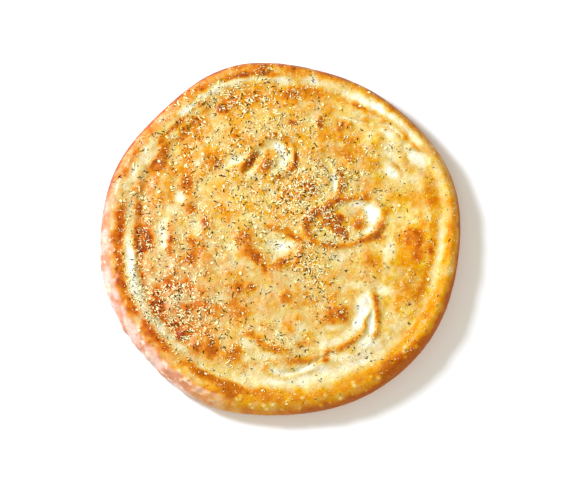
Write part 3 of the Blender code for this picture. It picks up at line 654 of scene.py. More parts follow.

# %% Brown and pale patches, and patches of painted light
# Most rows are browning. The palest rows in the hollows of the crater, the hook and the lower right folds are
# painted highlights, white glints of oil; the dark row left of the hook, turned -32 degrees, is browning with
# painted shade in its crease.
# centre x, y, half sizes, amount (negative for paler), and a turn in degrees where there is one
BAKE_AND_PAINTED_LIGHT_PATCHES = (
    (-35, 140, 22, 6, 0.2, 10), (-15, 142, 5, 5, 0.45), (-49, 108, 5, 5, 0.5), (-68, 112, 3, 3, 0.4),
    (-65, 125, 8, 4, 0.22, 25), (-88, 97, 9, 5, 0.28, 50), (-72, 97, 8, 5, 0.2, -10),
    (-83, 84, 8, 4, 0.22, 20), (-68, 86, 4, 8, 0.25, 20), (-98, 70, 5, 13, 0.38, -10),
    (-106, 57, 5, 8, 0.26, -20), (-80, 75, 4, 8, 0.18), (-88, 62, 3, 12, 0.14), (-55, 67, 8, 8, 0.22),
    (-57, 58, 6, 5, 0.25), (-38, 87, 8, 5, 0.26, -20), (-24.5, 62, 3.4, 11, 0.8, -32),
    (9, 71, 2.5, 9, -0.3), (6, 68, 1.8, 7, 0.2, -8), (-13, 56, 4, 7, 0.26), (-10, 64, 6, 6, 0.1),
    (-112, 38, 6, 10, 0.18, 10), (-124, 40, 4, 5, 0.26), (-99, 32, 3, 4, 0.34), (-118, 22, 5, 6, 0.38),
    (-137, 12, 5, 14, 0.08), (-113, -4, 6, 9, 0.42, 20), (-92, -2, 2.5, 12, 0.28), (-75, 22, 6, 4, 0.25),
    (-64, 10, 4, 5, 0.28), (-50, 22, 5, 5, 0.15), (-8, 6, 6, 3, 0.32, -10), (-31, -4, 8, 7, 0.34),
    (12, -3, 7, 2.5, 0.36, -30), (-78, 40, 6, 8, 0.18), (-110, 78, 6, 6, -0.35),
    (-45, 92, 14, 6, -0.08, -10), (-84, 32, 5, 5, -0.4), (-90, 22, 6, 6, -0.28, 20), (-98, 2, 5, 14, -0.28),
    (-70, 8, 5, 9, -0.32), (-38, 64, 8, 4, -0.4, 20), (-25, 51, 4, 4, -0.4), (-33, 51, 4, 3, -0.2),
    (-130, -5, 5, 35, -0.18), (-1, 74, 3.5, 5, -0.65, 20), (2, 65, 4, 6, -0.5, -15), (4.5, 75, 2, 5, 0.4),
    (10, 96, 3, 3, 0.5), (5, 122, 10, 7, 0.26), (22, 122, 14, 6, 0.22, -5), (33, 96, 3, 5, 0.5),
    (50, 95, 6, 4, 0.2, -40), (12, 95, 8, 6, 0.14), (13.5, 65, 2.5, 8, 0.46, -5), (17, 86, 3, 6, 0.24),
    (24, 41, 10, 4, 0.3, -20), (45, 14, 8, 4, 0.66, 8), (35, 9, 5, 2.5, 0.36), (47, 4, 5, 4, 0.42),
    (54, 0, 3.5, 5, 0.62, 10), (66, 9, 6, 5, 0.42, 20), (79, -2, 7, 3.5, 0.26, 10),
    (50.5, 45, 1.8, 10, 0.34), (29.5, 53.5, 1.6, 4, -0.45, -10), (36, 54.5, 1.6, 4.5, -0.4, -10),
    (33, 56, 1.4, 5, 0.25, -5), (60, 30, 7, 3, -0.14, 15), (86, 12, 3, 10, -0.16, -10),
    (103, 62, 10, 8, 0.18), (65, 68, 8, 8, 0.14), (120, 33, 14, 8, 0.28), (120, 10, 9, 25, 0.06),
    (113, -10, 14, 16, 0.22), (85, 0, 8, 10, 0.22), (23, 11, 4, 6, 0.34, -15), (3, 132, 8, 4, -0.3, -10),
    (27, 132, 5, 4, -0.3), (92, 55, 8, 4, -0.6, -45), (114, 65, 9, 5, -0.6, -45),
    (90, 88, 7, 3.5, -0.3, -30), (76, 83, 6, 6, -0.34), (104, 84, 3, 7, 0.22, 25), (95, 72, 5, 5, 0.14),
    (60, 85, 8, 6, 0.12), (58, 100, 12, 8, -0.14, -30), (77, 20, 7, 9, -0.7, -20),
    (66, 27, 6, 2.5, -0.44, 5), (74, 4, 5, 4, -0.26), (45, 47, 2.5, 9, -0.42), (-137, -5, 4, 10, 0.2),
    (-133, -38, 4, 12, 0.3, 12), (-124, -61, 6, 10, 0.3, 25), (-110, -80, 6, 8, 0.22, 40),
    (-97, -94, 6, 8, 0.2, 45), (-79, -112, 7, 8, 0.2, 50), (-118, -56, 4, 14, -0.26, 15),
    (-99, -79, 4, 8, -0.24, 40), (-80, -96, 8, 4, -0.3, -20), (-62, -122, 10, 5, 0.12, -25),
    (-40, -134, 14, 6, 0.1, -10), (-93, -40, 3, 4, 0.42), (-102, -61, 6, 7, 0.62), (-83, -86, 4, 4, 0.62),
    (-88, -76, 5, 4, 0.34), (-75, -22, 6, 5, 0.25), (-92, -14, 3, 4, 0.3), (-38, -45, 12, 6, 0.3),
    (-24, -45, 4, 3, 0.42), (-60, -62, 20, 12, 0.25), (-35, -62, 10, 12, 0.25), (-60, -97, 14, 8, 0.3),
    (-38, -102, 6, 8, 0.3), (-30, -113, 4, 3, 0.26), (-20, -88, 10, 4, 0.24, -35),
    (-5, -98, 10, 4, 0.16, -10), (-25, -14, 5, 5, 0.38, -30), (-19, -19, 6, 6, 0.36, -40),
    (-13, -29, 3, 5, 0.3), (1, -23, 9, 4, 0.4, 38), (14, -14, 3, 7, 0.14), (12, -25, 3, 3, 0.26),
    (-65, -13, 4, 3, 0.26), (-75, -5, 4, 5, 0.26), (-125, -20, 5, 40, -0.2), (-78, -52, 8, 6, -0.28),
    (-65, -113, 10, 3, -0.18), (48, -68, 11, 8, 0.22), (25, -55, 10, 6, 0.22), (5, -53, 6, 5, 0.26),
    (20, -93, 5, 4, 0.3), (60, -90, 8, 3, 0.2, 35), (54, -95, 5, 3, 0.14, 20), (79.5, -64, 2.2, 14, 0.22),
    (37.5, -105, 3, 5, 0.55, -20), (55, -103, 16, 3.5, -0.25, 10), (25, -112, 16, 3, -0.25, 5),
    (15, -105, 14, 5, 0.3), (78, -20, 8, 10, 0.2), (105, -45, 10, 10, 0.18), (118, -40, 6, 10, 0.06),
    (69, -60, 6, 12, -0.65, -15), (64, -75, 4, 6, -0.5, -20), (56, -84, 11, 4, -0.24, 35),
    (38, -92, 12, 3.5, -0.24, 25), (76, -74, 2.6, 11, -0.6, -5), (85, -47, 6, 4, -0.36),
    (63, -42, 7, 4, -0.26), (3, -9, 6, 5, -0.36), (-8, -8, 10, 8, -0.14), (-28, 114, 20, 6, 0.16),
    (-38, 103, 12, 8, 0.26), (43, 88, 13, 8, 0.26), (60, 78, 9, 7, 0.16), (90, 70, 8, 10, -0.24),
    (-79, 58, 7, 18, 0.26), (-4, 67, 4, 5, -0.18), (52, 66, 8, 8, 0.24), (100, 50, 8, 8, -0.18),
    (70, 53, 10, 4, -0.12), (-80, 42, 6, 9, 0.2), (12, 38, 17, 12, 0.2), (72, 40, 8, 7, 0.16),
    (-91, 32, 4, 7, 0.26), (-114, 12, 6, 13, 0.1), (-1, 22, 9, 9, 0.18), (-66, 12, 5, 9, 0.16),
    (18, 4, 4, 8, -0.16), (92, 2, 6, 17, -0.2), (-115, -9, 6, 13, 0.12), (-72, -10, 8, 9, 0.18),
    (34, -6, 7, 4, -0.18), (85, -12, 10, 12, -0.26), (-74, -19, 12, 7, 0.18), (48, -18, 10, 5, -0.24),
    (5, -18, 4, 3, -0.2), (91, -24, 6, 12, -0.2), (-78, -44, 6, 9, 0.34), (-102, -50, 6, 14, 0.26),
    (-44, -46, 8, 9, -0.2), (-56, -54, 13, 5, -0.22), (-68, -80, 18, 8, 0.24), (18, -78, 6, 5, -0.3),
    (42, -79, 8, 3, -0.24), (6, -78, 5, 5, 0.16), (-54, -90, 7, 5, 0.28), (-26, -91, 9, 5, -0.34),
    (72, -90, 8, 6, -0.32), (-24, -103, 11, 5, -0.26), (10, -102, 18, 3, -0.16), (-4, -114, 7, 4, -0.26),
    (32, -114, 10, 3, -0.22), (112, 14, 7, 8, -0.24), (-42, -20, 6, 6, -0.14), (-114, 10, 6, 9, 0.14),
    (-115, -7, 7, 8, 0.3), (-102, -66, 7, 7, 0.2), (-78, -60, 7, 12, 0.18), (-78, -84, 7, 9, 0.18),
    (-100, -42, 8, 7, 0.14), (-42, 114, 9, 6, 0.16), (-80, 88, 7, 7, 0.16), (-90, 54, 6, 6, 0.14),
    (42, -54, 7, 5, 0.14), (72, -42, 8, 4, -0.18), (66, -91, 8, 6, -0.26), (22, -103, 14, 4, -0.2),
    (48, 8, 14, 8, 0.22, 10), (64, 16, 8, 6, 0.14, 10), (114, -34, 7, 18, 0.1), (42, 12, 10, 9, 0.08),
    (-107, 47, 5, 5, 0.24), (-115, -2, 6, 10, 0.26), (34, 17, 16, 6, 0.3, 10), (-22, 12, 10, 7, -0.16),
    (-88, 5, 6, 5, -0.12), (-36, -7, 8, 5, -0.16), (0, -92, 12, 5, -0.18, -8), (0, -103, 12, 4, -0.16),
    (-88, -44, 9, 6, 0.16), (44, -103, 8, 4, -0.14),
)
print("patches:", len(BAKE_AND_PAINTED_LIGHT_PATCHES))

# %% Bake the crust
BASE_BAKE = 0.49
HEIGHT_BROWNING = 0.10
RELIEF_LIMIT = 2.5
SMOOTHING_REACH = 9.0
PATCH_STRENGTH = 0.8
PATCH_CRISPNESS = 3.5
# the bake rises more slowly above the first value, and never passes the second
BAKE_SLOWING = 0.7
BAKE_LIMIT = 0.85
# how much paler the blisters' tops are: a painted highlight
BLISTER_PAINTED_HIGHLIGHT = 0.28
# size of a swell in the distance from the outline, its amount, and its own seed
INSET_NOISE = ((9.0, 1.3, 12), (4.0, 0.8, 13))
CRATER_LIP_BAKE = 0.10
CRATER_LIP_SPREAD = 0.10
# the lip is darker at its upper left, browner and with painted shade where it faces away from the lamp:
# middle and half spread in degrees, extra bake
CRATER_LIP_SHADE_ANGLES = (135.0, 52.0)
CRATER_LIP_BROWNING_AND_SHADE = 0.34
# size of a blotch and its amount
BAKE_NOISE = ((26.0, 0.03), (13.0, 0.04), (6.5, 0.05), (3.2, 0.05))
# the share of the blotches that stretched dough doesn't show
STRETCHED_CALM = 0.6
UNDERSIDE_BAKE = 0.70
BASE_MILK = 0.055
# centre x, y, half sizes, amount
MILK_PATCHES = (
    (-88, 35, 50, 55, 0.03), (-30, -50, 60, 50, 0.03), (112, -25, 30, 60, -0.14), (70, 125, 40, 25, -0.03),
    (-96, -60, 34, 44, 0.12), (-125, 10, 18, 50, 0.05), (84, 86, 15, 13, -0.12), (112, 18, 16, 30, -0.06),
    (136, 0, 10, 40, -0.06), (110, -37, 14, 13, 0.12), (10, 34, 15, 12, -0.07), (-44, 32, 18, 15, -0.06),
)
# the second band makes the near right wall stronger and brighter in colour: painted warm light on a wall that
# faces away from the lamp
# middle and half spread in degrees, distance in from the outline, half width, amount
RIM_MILK_AND_PAINTED_GLOW = ((150.0, 50.0, 2.0, 9.0, 0.12), (290.0, 50.0, 3.0, 12.0, -0.06))
# where the rim was stretched: middle and half spread in degrees, reach from the outline, and fade
STRETCHED_ANGLES = (322.0, 80.0)
STRETCHED_REACH = 16.0
STRETCHED_FADE = 10.0
# the same for the pale wall
RAW_ANGLES = (208.0, 40.0)
RAW_REACH = 8.0
RAW_FADE = 4.0


def smoothed_relief(places, reach):
    """The relief at some places after a Gaussian blur, by way of a square grid."""
    step, margin = 2.0, 5
    half = int(MEAN_RADIUS / step) + margin
    line = np.arange(-half, half + 1) * step
    grid = crust_relief(*np.meshgrid(line, line))
    offsets = np.arange(-3 * reach, 3 * reach + step, step)
    weights = np.exp(-0.5 * (offsets / reach) ** 2)
    weights /= weights.sum()
    for axis in (0, 1):
        grid = np.apply_along_axis(np.convolve, axis, grid, weights, 'same')
    column = np.clip(((places[:, 0] - line[0]) / step).astype(int), 0, len(line) - 2)
    row = np.clip(((places[:, 1] - line[0]) / step).astype(int), 0, len(line) - 2)
    blend_x = np.clip((places[:, 0] - line[column]) / step, 0.0, 1.0)
    blend_y = np.clip((places[:, 1] - line[row]) / step, 0.0, 1.0)
    low = grid[row, column] * (1 - blend_x) + grid[row, column + 1] * blend_x
    high = grid[row + 1, column] * (1 - blend_x) + grid[row + 1, column + 1] * blend_x
    return low * (1 - blend_y) + high * blend_y


def rim_distance(places):
    """Angle round the bread, and distance in from the outline, a little uneven."""
    x, y, z = places.T
    angle = np.arctan2(y, x)
    inset = outline_radius(angle) - np.hypot(x, y)
    for size, amount, seed in INSET_NOISE:
        inset = inset + amount * lattice_noise(x, y, size, SEED + seed)
    return angle, inset


def add_bands(values, places, bands):
    """Add a soft band along the rim to the values for each row."""
    angle, inset = rim_distance(places)
    for middle, spread, at, half, amount in bands:
        values += amount * angle_share(angle, middle, spread, 4) * np.exp(-((inset - at) / half) ** 2)


def smoothness(places):
    """1 on the right and near sides of the rim, where the dough was stretched tight."""
    angle, inset = rim_distance(places)
    within = 1.0 - smooth_step((inset - STRETCHED_REACH) / STRETCHED_FADE)
    return angle_share(angle, *STRETCHED_ANGLES, 4) * within


def crust_bake_and_painted_light(places):
    """How far each place has browned: 0 is raw cream and 1 is charred. Painted highlights and painted shade
    are added to it too.
    """
    x, y, z = places.T
    bake = np.full(len(places), BASE_BAKE)
    relief = crust_relief(x, y)
    standing = relief - smoothed_relief(places, SMOOTHING_REACH)
    bake += HEIGHT_BROWNING * np.clip(standing, -RELIEF_LIMIT, RELIEF_LIMIT)
    add_bands(bake, places, RIM_BANDS)
    moved_x, moved_y = wander(x, y)
    add_ovals(bake, moved_x, moved_y, BAKE_AND_PAINTED_LIGHT_PATCHES, PATCH_CRISPNESS, PATCH_STRENGTH)
    ring = oval(moved_x, moved_y, *CRATER_CENTRE, *CRATER_HALF_SIZE, CRATER_TURN)
    around = np.arctan2(moved_y - CRATER_CENTRE[1], moved_x - CRATER_CENTRE[0])
    # the lip browns all round, and at its upper left it also takes painted shade
    lip = CRATER_LIP_BAKE + CRATER_LIP_BROWNING_AND_SHADE * angle_share(around, *CRATER_LIP_SHADE_ANGLES)
    bake += lip * np.exp(-((ring - 1.0) / CRATER_LIP_SPREAD) ** 2)
    # painted highlight: the tops of the rim's blisters are made paler
    bake -= BLISTER_PAINTED_HIGHLIGHT * np.minimum(bumps(places, rim_blisters()) / BLISTER_HEIGHT, 1.0)
    blotchy = 1.0 - STRETCHED_CALM * smoothness(places)
    for size, amount in BAKE_NOISE:
        bake += amount * lattice_noise(x, y, size, SEED + 20 + int(size)) * blotchy
    room = BAKE_LIMIT - BAKE_SLOWING
    slowed = BAKE_SLOWING + room * np.tanh((bake - BAKE_SLOWING) / room)
    bake = np.where(bake > BAKE_SLOWING, slowed, bake)
    under = smooth_step((WIDEST_HEIGHT - z) / WIDEST_HEIGHT)
    return bake * (1 - under) + UNDERSIDE_BAKE * under


def raw_share(places):
    """Where the wall of the bread is pale, hardly baked dough."""
    angle, inset = rim_distance(places)
    return angle_share(angle, *RAW_ANGLES, 6) * smooth_step((RAW_REACH - inset) / RAW_FADE + 0.5)


def milkiness(places):
    """How far the crust's colour loses strength: above 0 where it is matte; below 0 it is stronger and
    brighter, where it is oily and, on the near right wall, as painted warm light.
    """
    milk = np.full(len(places), BASE_MILK)
    add_ovals(milk, places[:, 0], places[:, 1], MILK_PATCHES)
    add_bands(milk, places, RIM_MILK_AND_PAINTED_GLOW)
    return milk


def store_values(mesh, name, values):
    """Keep one number for each vertex."""
    layer = mesh.attributes.new(name, 'FLOAT', 'POINT')
    layer.data.foreach_set("value", np.ascontiguousarray(values, dtype=np.float32))


bake_and_light_values = crust_bake_and_painted_light(crust_places)
store_values(crust.data, "bake", bake_and_light_values)
store_values(crust.data, "raw", raw_share(crust_places))
store_values(crust.data, "milk", milkiness(crust_places))
store_values(crust.data, "smooth", smoothness(crust_places))
print("bake from", bake_and_light_values.min().round(2), "to", bake_and_light_values.max().round(2),
      "mean", bake_and_light_values.mean().round(2))

# %% [markdown]
# ## Shader sums that read like sums
#
# A material is a sum of noises, steps and colours. Wired node by node it is long and hard to
# read, so one small class wraps a node's output, and its operators add the nodes. A colour is
# mixed by `blend`, and any other node comes from `add_node`: its type, its settings, its sockets.

# %% A small class for shader sums
class Wire:
    """A node's output that can be added, multiplied and divided like a number."""

    def __init__(self, tree, output):
        self.tree = tree
        self.output = output

    def maths(self, operation, *parts):
        """One maths node on some numbers."""
        node = self.tree.nodes.new("ShaderNodeMath")
        node.operation = operation
        for socket, part in zip(node.inputs, parts):
            plug(self.tree, socket, part)
        return Wire(self.tree, node.outputs[0])

    def __add__(self, other):
        return self.maths('ADD', self, other)

    __radd__ = __add__

    def __sub__(self, other):
        return self.maths('SUBTRACT', self, other)

    def __rsub__(self, other):
        return self.maths('SUBTRACT', other, self)

    def __mul__(self, other):
        return self.maths('MULTIPLY', self, other)

    __rmul__ = __mul__

    def __truediv__(self, other):
        return self.maths('DIVIDE', self, other)

    def at_least(self, low):
        """This number, or `low` where it is less."""
        return self.maths('MAXIMUM', self, low)

    def at_most(self, high):
        """This number, or `high` where it is more."""
        return self.maths('MINIMUM', self, high)

    def step(self, low, high):
        """A smooth rise from 0 at `low` to 1 at `high`."""
        node = self.tree.nodes.new("ShaderNodeMapRange")
        node.interpolation_type = 'SMOOTHSTEP'
        for name, value in (("Value", self), ("From Min", low), ("From Max", high)):
            plug(self.tree, node.inputs[name], value)
        return Wire(self.tree, node.outputs[0])


def plug(tree, socket, value):
    """Link a wire or a node's output to a socket, or set the socket's own value."""
    if isinstance(value, Wire):
        value = value.output
    if isinstance(value, bpy.types.NodeSocket):
        tree.links.new(value, socket)
    else:
        socket.default_value = value


def add_node(tree, kind, settings, sockets):
    """A new node of any tree: its type, its settings and its sockets."""
    node = tree.nodes.new(kind)
    for name, value in settings.items():
        setattr(node, name, value)
    for name, value in sockets.items():
        plug(tree, node.inputs[name], value)
    return node


class Recipe:
    """A new material and the few ways to add to it."""

    def __init__(self, name):
        self.material = bpy.data.materials.new(name)
        self.material.use_nodes = True
        self.tree = self.material.node_tree
        self.shader = self.tree.nodes["Principled BSDF"]
        self.place = self.node("ShaderNodeTexCoord", {}, {}, "Object")

    def node(self, kind, settings, sockets, output=0):
        """Any node's output: the node's type, settings and sockets, and the output wanted."""
        return Wire(self.tree, add_node(self.tree, kind, settings, sockets).outputs[output])

    def noise(self, size, detail=2.0, roughness=0.5):
        """Noise between 0 and 1 whose lumps are about `size` metres across."""
        return self.node("ShaderNodeTexNoise", {}, {
            "Vector": self.place, "Scale": 1.0 / size, "Detail": detail, "Roughness": roughness})

    def drift(self, size, detail, amount):
        """The same noise centred on 0, times an amount."""
        return (self.noise(size, detail) - 0.5) * amount

    def value(self, name):
        """A number kept on the mesh."""
        return self.node("ShaderNodeAttribute", {"attribute_name": name}, {}, "Fac")

    def blend(self, factor, first, second):
        """The first colour where the factor is 0, the second where it is 1."""
        return self.node("ShaderNodeMix", {"data_type": 'RGBA', "clamp_factor": True},
                         {0: factor, 6: first, 7: second}, 2)

    def set(self, **sockets):
        """Feed the shader's sockets, named with underscores for spaces."""
        for name, value in sockets.items():
            plug(self.tree, self.shader.inputs[name.replace("_", " ")], value)


def colour(red, green, blue, brightness=1.0):
    """A colour as the eye names it, 0 to 255, made linear for the shader."""
    parts = np.array((red, green, blue)) / 255.0
    linear = np.where(parts <= 0.04045, parts / 12.92, ((parts + 0.055) / 1.055) ** 2.4) * brightness
    return (*linear.tolist(), 1.0)


print("colour() of mid grey:", [round(part, 3) for part in colour(128, 128, 128)])

# %% [markdown]
# ## The crust's material
#
# From raw to charred the crust runs through cream, straw, gold, orange and brown. Each colour
# takes over from the one before along the bake, with finer noise added for the freckles between
# vertices. Oil makes the crust glossy in an uneven film, which only the coat shows.

# %% Colour the crust
SURFACE_LIGHT = 1.30
# bake at which the colour is reached, and the colour
CRUST_COLOURS = (
    (-0.22, (258, 262, 256)), (-0.02, (257, 258, 238)), (0.17, (253, 238, 190)), (0.38, (238, 206, 112)),
    (0.58, (232, 163, 28)), (0.74, (212, 124, 6)), (0.88, (172, 82, 2)), (1.05, (110, 46, 0)),
)
# how far a milky place darkens, and the milkiness above which golden places turn dull too
MILK_DIMMING = 0.9
MATT_MILK = 0.06
# pink, salmon, and a cream that is partly the dough's own and partly painted highlight on the wall's lumps
RAW_DOUGH_AND_PAINTED_HIGHLIGHT = ((220, 184, 172), (200, 134, 104), (232, 202, 178))
# noises: size in metres, detail, amount
BLOTCHES, BLOTCH_AMOUNT = (0.0075, 1.5), 0.10
MOTTLE, TOASTED_MOTTLE = (0.0032, 2.0, 0.20), (0.0024, 2.0, 0.14)
SPOTS, SPOT_AMOUNT = (0.0013, 1.0), 0.06
HUE_DRIFT, STRENGTH_DRIFT, LIGHT_DRIFT = (0.0055, 2.0, 0.035), (0.0085, 2.0, 0.62), (0.0014, 1.0, 0.50)
# the bake at which a change begins and ends
FRECKLED, GOLDEN, BROWN, TOASTED = (0.15, 0.45), (0.42, 0.66), (0.56, 0.74), (0.52, 0.72)
DRIFT_GONE, OIL_GONE = (0.44, 0.70), (0.45, 0.75)
NOISE_EDGE = (0.38, 0.62)


def freckled_bake(recipe):
    """The bake on the mesh, with the blotches, freckles and spots that are finer than its faces."""
    bake, stretched = recipe.value("bake"), recipe.value("smooth")
    bake = bake + (recipe.noise(*BLOTCHES).step(*NOISE_EDGE) - 0.5) * BLOTCH_AMOUNT * (1.0 - stretched)
    mottle = recipe.drift(*MOTTLE) + (recipe.noise(*SPOTS).step(0.58, 0.68) - 0.2) * SPOT_AMOUNT
    mottle = mottle + recipe.drift(*TOASTED_MOTTLE) * bake.step(*TOASTED)
    return bake + mottle * (0.45 + 0.55 * bake.step(*FRECKLED)) * (1.0 - STRETCHED_CALM * stretched)


def baked_colour(recipe, bake):
    """The colours of the bake, paler where the crust is milky, and stronger where it is oily and where warm
    light is painted on the near right wall.
    """
    look = colour(*CRUST_COLOURS[0][1], 1 / SURFACE_LIGHT)
    for (low, _), (high, following) in zip(CRUST_COLOURS, CRUST_COLOURS[1:]):
        look = recipe.blend((bake - low) / (high - low), look, colour(*following, 1 / SURFACE_LIGHT))
    milk = recipe.value("milk")
    matt, vivid = (milk - MATT_MILK).at_least(0.0), milk.at_most(0.0)
    dull = milk.at_least(0.0) * (1.0 - bake.step(*GOLDEN))
    dull = dull + matt * bake.step(*GOLDEN) * (1.0 - bake.step(*BROWN))
    hue = 0.5 + 0.08 * vivid - 0.10 * matt + recipe.drift(*HUE_DRIFT)
    strength = 1.0 - dull - vivid + recipe.drift(*STRENGTH_DRIFT) * (1.0 - bake.step(*DRIFT_GONE))
    light = 1.0 - MILK_DIMMING * (dull + vivid) + recipe.drift(*LIGHT_DRIFT)
    return recipe.node("ShaderNodeHueSaturation", {}, {
        "Hue": hue, "Saturation": strength, "Value": light, "Color": look})


def raw_dough(recipe):
    """Pink dough with salmon patches and cream flecks, which are partly the dough's own and partly painted
    highlights on the wall's lumps.
    """
    pink, salmon, cream_and_highlight = (colour(*part) for part in RAW_DOUGH_AND_PAINTED_HIGHLIGHT)
    look = recipe.blend(recipe.noise(0.016, 1.0).step(0.42, 0.58), pink, salmon)
    return recipe.blend(recipe.noise(0.007, 1.0).step(0.56, 0.68), look, cream_and_highlight)


def crust_material():
    """Baked dough under an uneven film of oil."""
    recipe = Recipe("baked_crust")
    bake = freckled_bake(recipe)
    raw = recipe.value("raw") * (1.0 - 0.4 * recipe.noise(0.005).step(0.5, 0.7))
    look = recipe.blend(raw, baked_colour(recipe, bake), raw_dough(recipe))
    oil = recipe.noise(0.011, 2.0).step(*NOISE_EDGE) * (1.0 - 0.7 * bake.step(*OIL_GONE))
    gloss = (0.12 + 0.40 * oil) * (1.0 - 0.7 * recipe.value("smooth"))
    grain = recipe.noise(0.0042, 2.0) + 0.55 * recipe.noise(0.0016, 1.0)
    bump = recipe.node("ShaderNodeBump", {}, {"Strength": 0.5, "Distance": 0.0016, "Height": grain}, "Normal")
    recipe.set(Subsurface_Weight=0.35, Subsurface_Radius=(1.0, 0.45, 0.2), Subsurface_Scale=0.004)
    recipe.set(Coat_Weight=gloss, Coat_Roughness=0.32, Specular_IOR_Level=0.06)
    recipe.set(Base_Color=look, Roughness=0.52 - 0.12 * oil, Normal=bump)
    return recipe.material


crust.data.materials.append(crust_material())
print("crust colours:", len(CRUST_COLOURS))

# %% Put the crust on the solid model
crust.data.transform(Matrix.Scale(MM, 4))
crust_points = vertex_array(crust.data)
shift = (np.array(cad_low) + cad_high) / 2 - (crust_points.min(axis=0) + crust_points.max(axis=0)) / 2
crust.data.transform(Matrix.Translation((shift[0], shift[1], 0.0)))
print("shifted, mm:", (shift[:2] / MM).round(2))

# %% [markdown]
# ## Cheese and herbs
#
# Grated hard cheese falls as short grains and thin curly shreds. Dried herbs fall as bent flakes
# and bits of stem. The pieces are far too many to place by hand, so a few shapes of each kind
# are scattered by one Geometry Nodes tree, as thickly as the values on the crust say. Each point
# takes a random shape, turn and size, and lies almost flat on the crust; a random number and the
# bake below it travel along for the colours.

# %% Where the toppings fall
# centre x, y, half sizes, share
CHEESE_PATCHES = (
    (-92, -55, 36, 42, 0.88), (-118, 5, 14, 50, 0.8), (-75, 95, 34, 28, 0.42), (-25, 118, 55, 22, 0.55),
    (-15, 70, 55, 42, 0.52), (26, -26, 20, 16, 1), (28, 43, 26, 18, 0.85), (46, 2, 15, 10, 0.5),
    (-35, -90, 40, 20, 0.35), (66, 62, 34, 34, 0.3), (0, 20, 40, 24, 0.5), (34, -54, 12, 10, 0.5),
    (-70, 10, 40, 40, 0.4), (75, -35, 16, 8, 0.25), (60, -108, 18, 8, 0.15), (0, -85, 14, 10, 0.35),
)
CHEESE_BASE_SHARE = 0.03
# the same for what is strewn, on top of the share of the large pieces
STREWN_PATCHES = (
    (-118, 5, 14, 50, -0.4), (0, 118, 60, 18, -0.02), (18, 42, 34, 20, 0.04), (20, -92, 70, 26, 0.14),
    (42, 3, 34, 28, 0.24), (-92, -30, 26, 18, -0.2), (-100, 72, 24, 20, 0.12), (-56, -66, 22, 18, 0.2),
    (-60, 100, 16, 14, -0.26), (-20, -18, 14, 12, 0.26), (90, 10, 16, 30, 0.12), (84, 92, 20, 14, -0.12),
    (22, 86, 16, 18, 0.16), (82, 60, 10, 12, -0.2), (40, -58, 14, 8, 0.2), (-118, 2, 10, 14, -0.14),
)
# the herbs fall a little differently
HERB_PATCHES = (
    (-108, 42, 22, 30, 0.12), (-92, -44, 34, 24, -0.14), (56, 4, 34, 26, 0.06), (-66, 6, 26, 26, -0.08),
    (-4, 100, 70, 26, -0.1),
)
LARGE_EXTRA_SHARE = 0.08
# the herbs follow the cheese's clumps, so their dark flakes and specks beside the grains are real herbs and
# also painted shade between the grains
# value on the crust, its patches, the share everywhere, and how much of the patches' share is added
STREWN_KINDS = (
    ("cheese_share", STREWN_PATCHES, 0.0, 1.0), ("powder_share", STREWN_PATCHES, 0.56, 0.6),
    ("herb_share", STREWN_PATCHES + HERB_PATCHES, 0.17, 0.85),
    ("speck_share", STREWN_PATCHES + HERB_PATCHES, 0.42, 0.6),
)
CLUMP_NOISE = ((20.0, 0.25), (9.0, 0.38), (5.0, 0.60), (3.0, 0.35))
CLUMP_THRESHOLD = 0.20
CLUMP_LEAST = 0.4
TOPPING_EDGE = 2.0
TOPPING_EDGE_PULLS = ((222.0, 34.0, 11.0), (200.0, 20.0, 3.0))
TOPPING_FADE = 6.0


def topping_share(places):
    """Share of the toppings that falls at each place, without the clumps."""
    share = np.full(len(places), CHEESE_BASE_SHARE)
    add_ovals(share, places[:, 0], places[:, 1], CHEESE_PATCHES)
    return np.minimum(share, 1.0)


def strewn_share(places, patches):
    """The same for what is strewn finely, with some more patches."""
    share = topping_share(places)
    add_ovals(share, places[:, 0], places[:, 1], patches)
    return np.clip(share, 0.0, 1.0)


def clumped(share, places):
    """The same share drawn together into clumps, and kept off the wall and the underside."""
    x, y, z = places.T
    clump = share - CLUMP_THRESHOLD
    for size, amount in CLUMP_NOISE:
        clump = clump + amount * lattice_noise(x, y, size, SEED + 70 + int(size))
    share = smooth_step(clump) * (CLUMP_LEAST + (1.0 - CLUMP_LEAST) * share)
    angle, inset = rim_distance(places)
    inside = smooth_step((inset - pulled(angle, TOPPING_EDGE, TOPPING_EDGE_PULLS)) / TOPPING_FADE)
    return np.clip(share * inside * (z > WIDEST_HEIGHT), 0.0, 1.0)


for name, patches, least, added in STREWN_KINDS:
    share = clumped(least + added * strewn_share(crust_places, patches), crust_places)
    store_values(crust.data, name, share)
    print("mean", name, "on the crust:", share.mean().round(2))

# %% [markdown]
# ## Topping colours
#
# Cheese goes from ivory to toasted gold, more so where the crust below it browned. The herbs
# are dull olive, some of them scorched almost black, and a few still green.

# %% Colour the toppings
CHEESE_LIGHT = 1.25
IVORY, TOASTED_CHEESE = (268, 259, 202), (246, 208, 98)
OLIVE, SCORCHED, LEAF_GREEN = (82, 54, 0), (40, 22, 0), (118, 104, 12)


def cheese_material():
    """Hard cheese, drier and darker where it baked."""
    recipe = Recipe("grated_cheese")
    shade = recipe.value("shade")
    toast = (recipe.value("bake") - 0.50) * 0.2 + (shade - 0.80) * 1.2 + recipe.drift(0.002, 2.0, 0.3)
    light, dark = (colour(*part, 1 / CHEESE_LIGHT) for part in (IVORY, TOASTED_CHEESE))
    recipe.set(Base_Color=recipe.blend(toast, light, dark), Roughness=0.45)
    return recipe.material


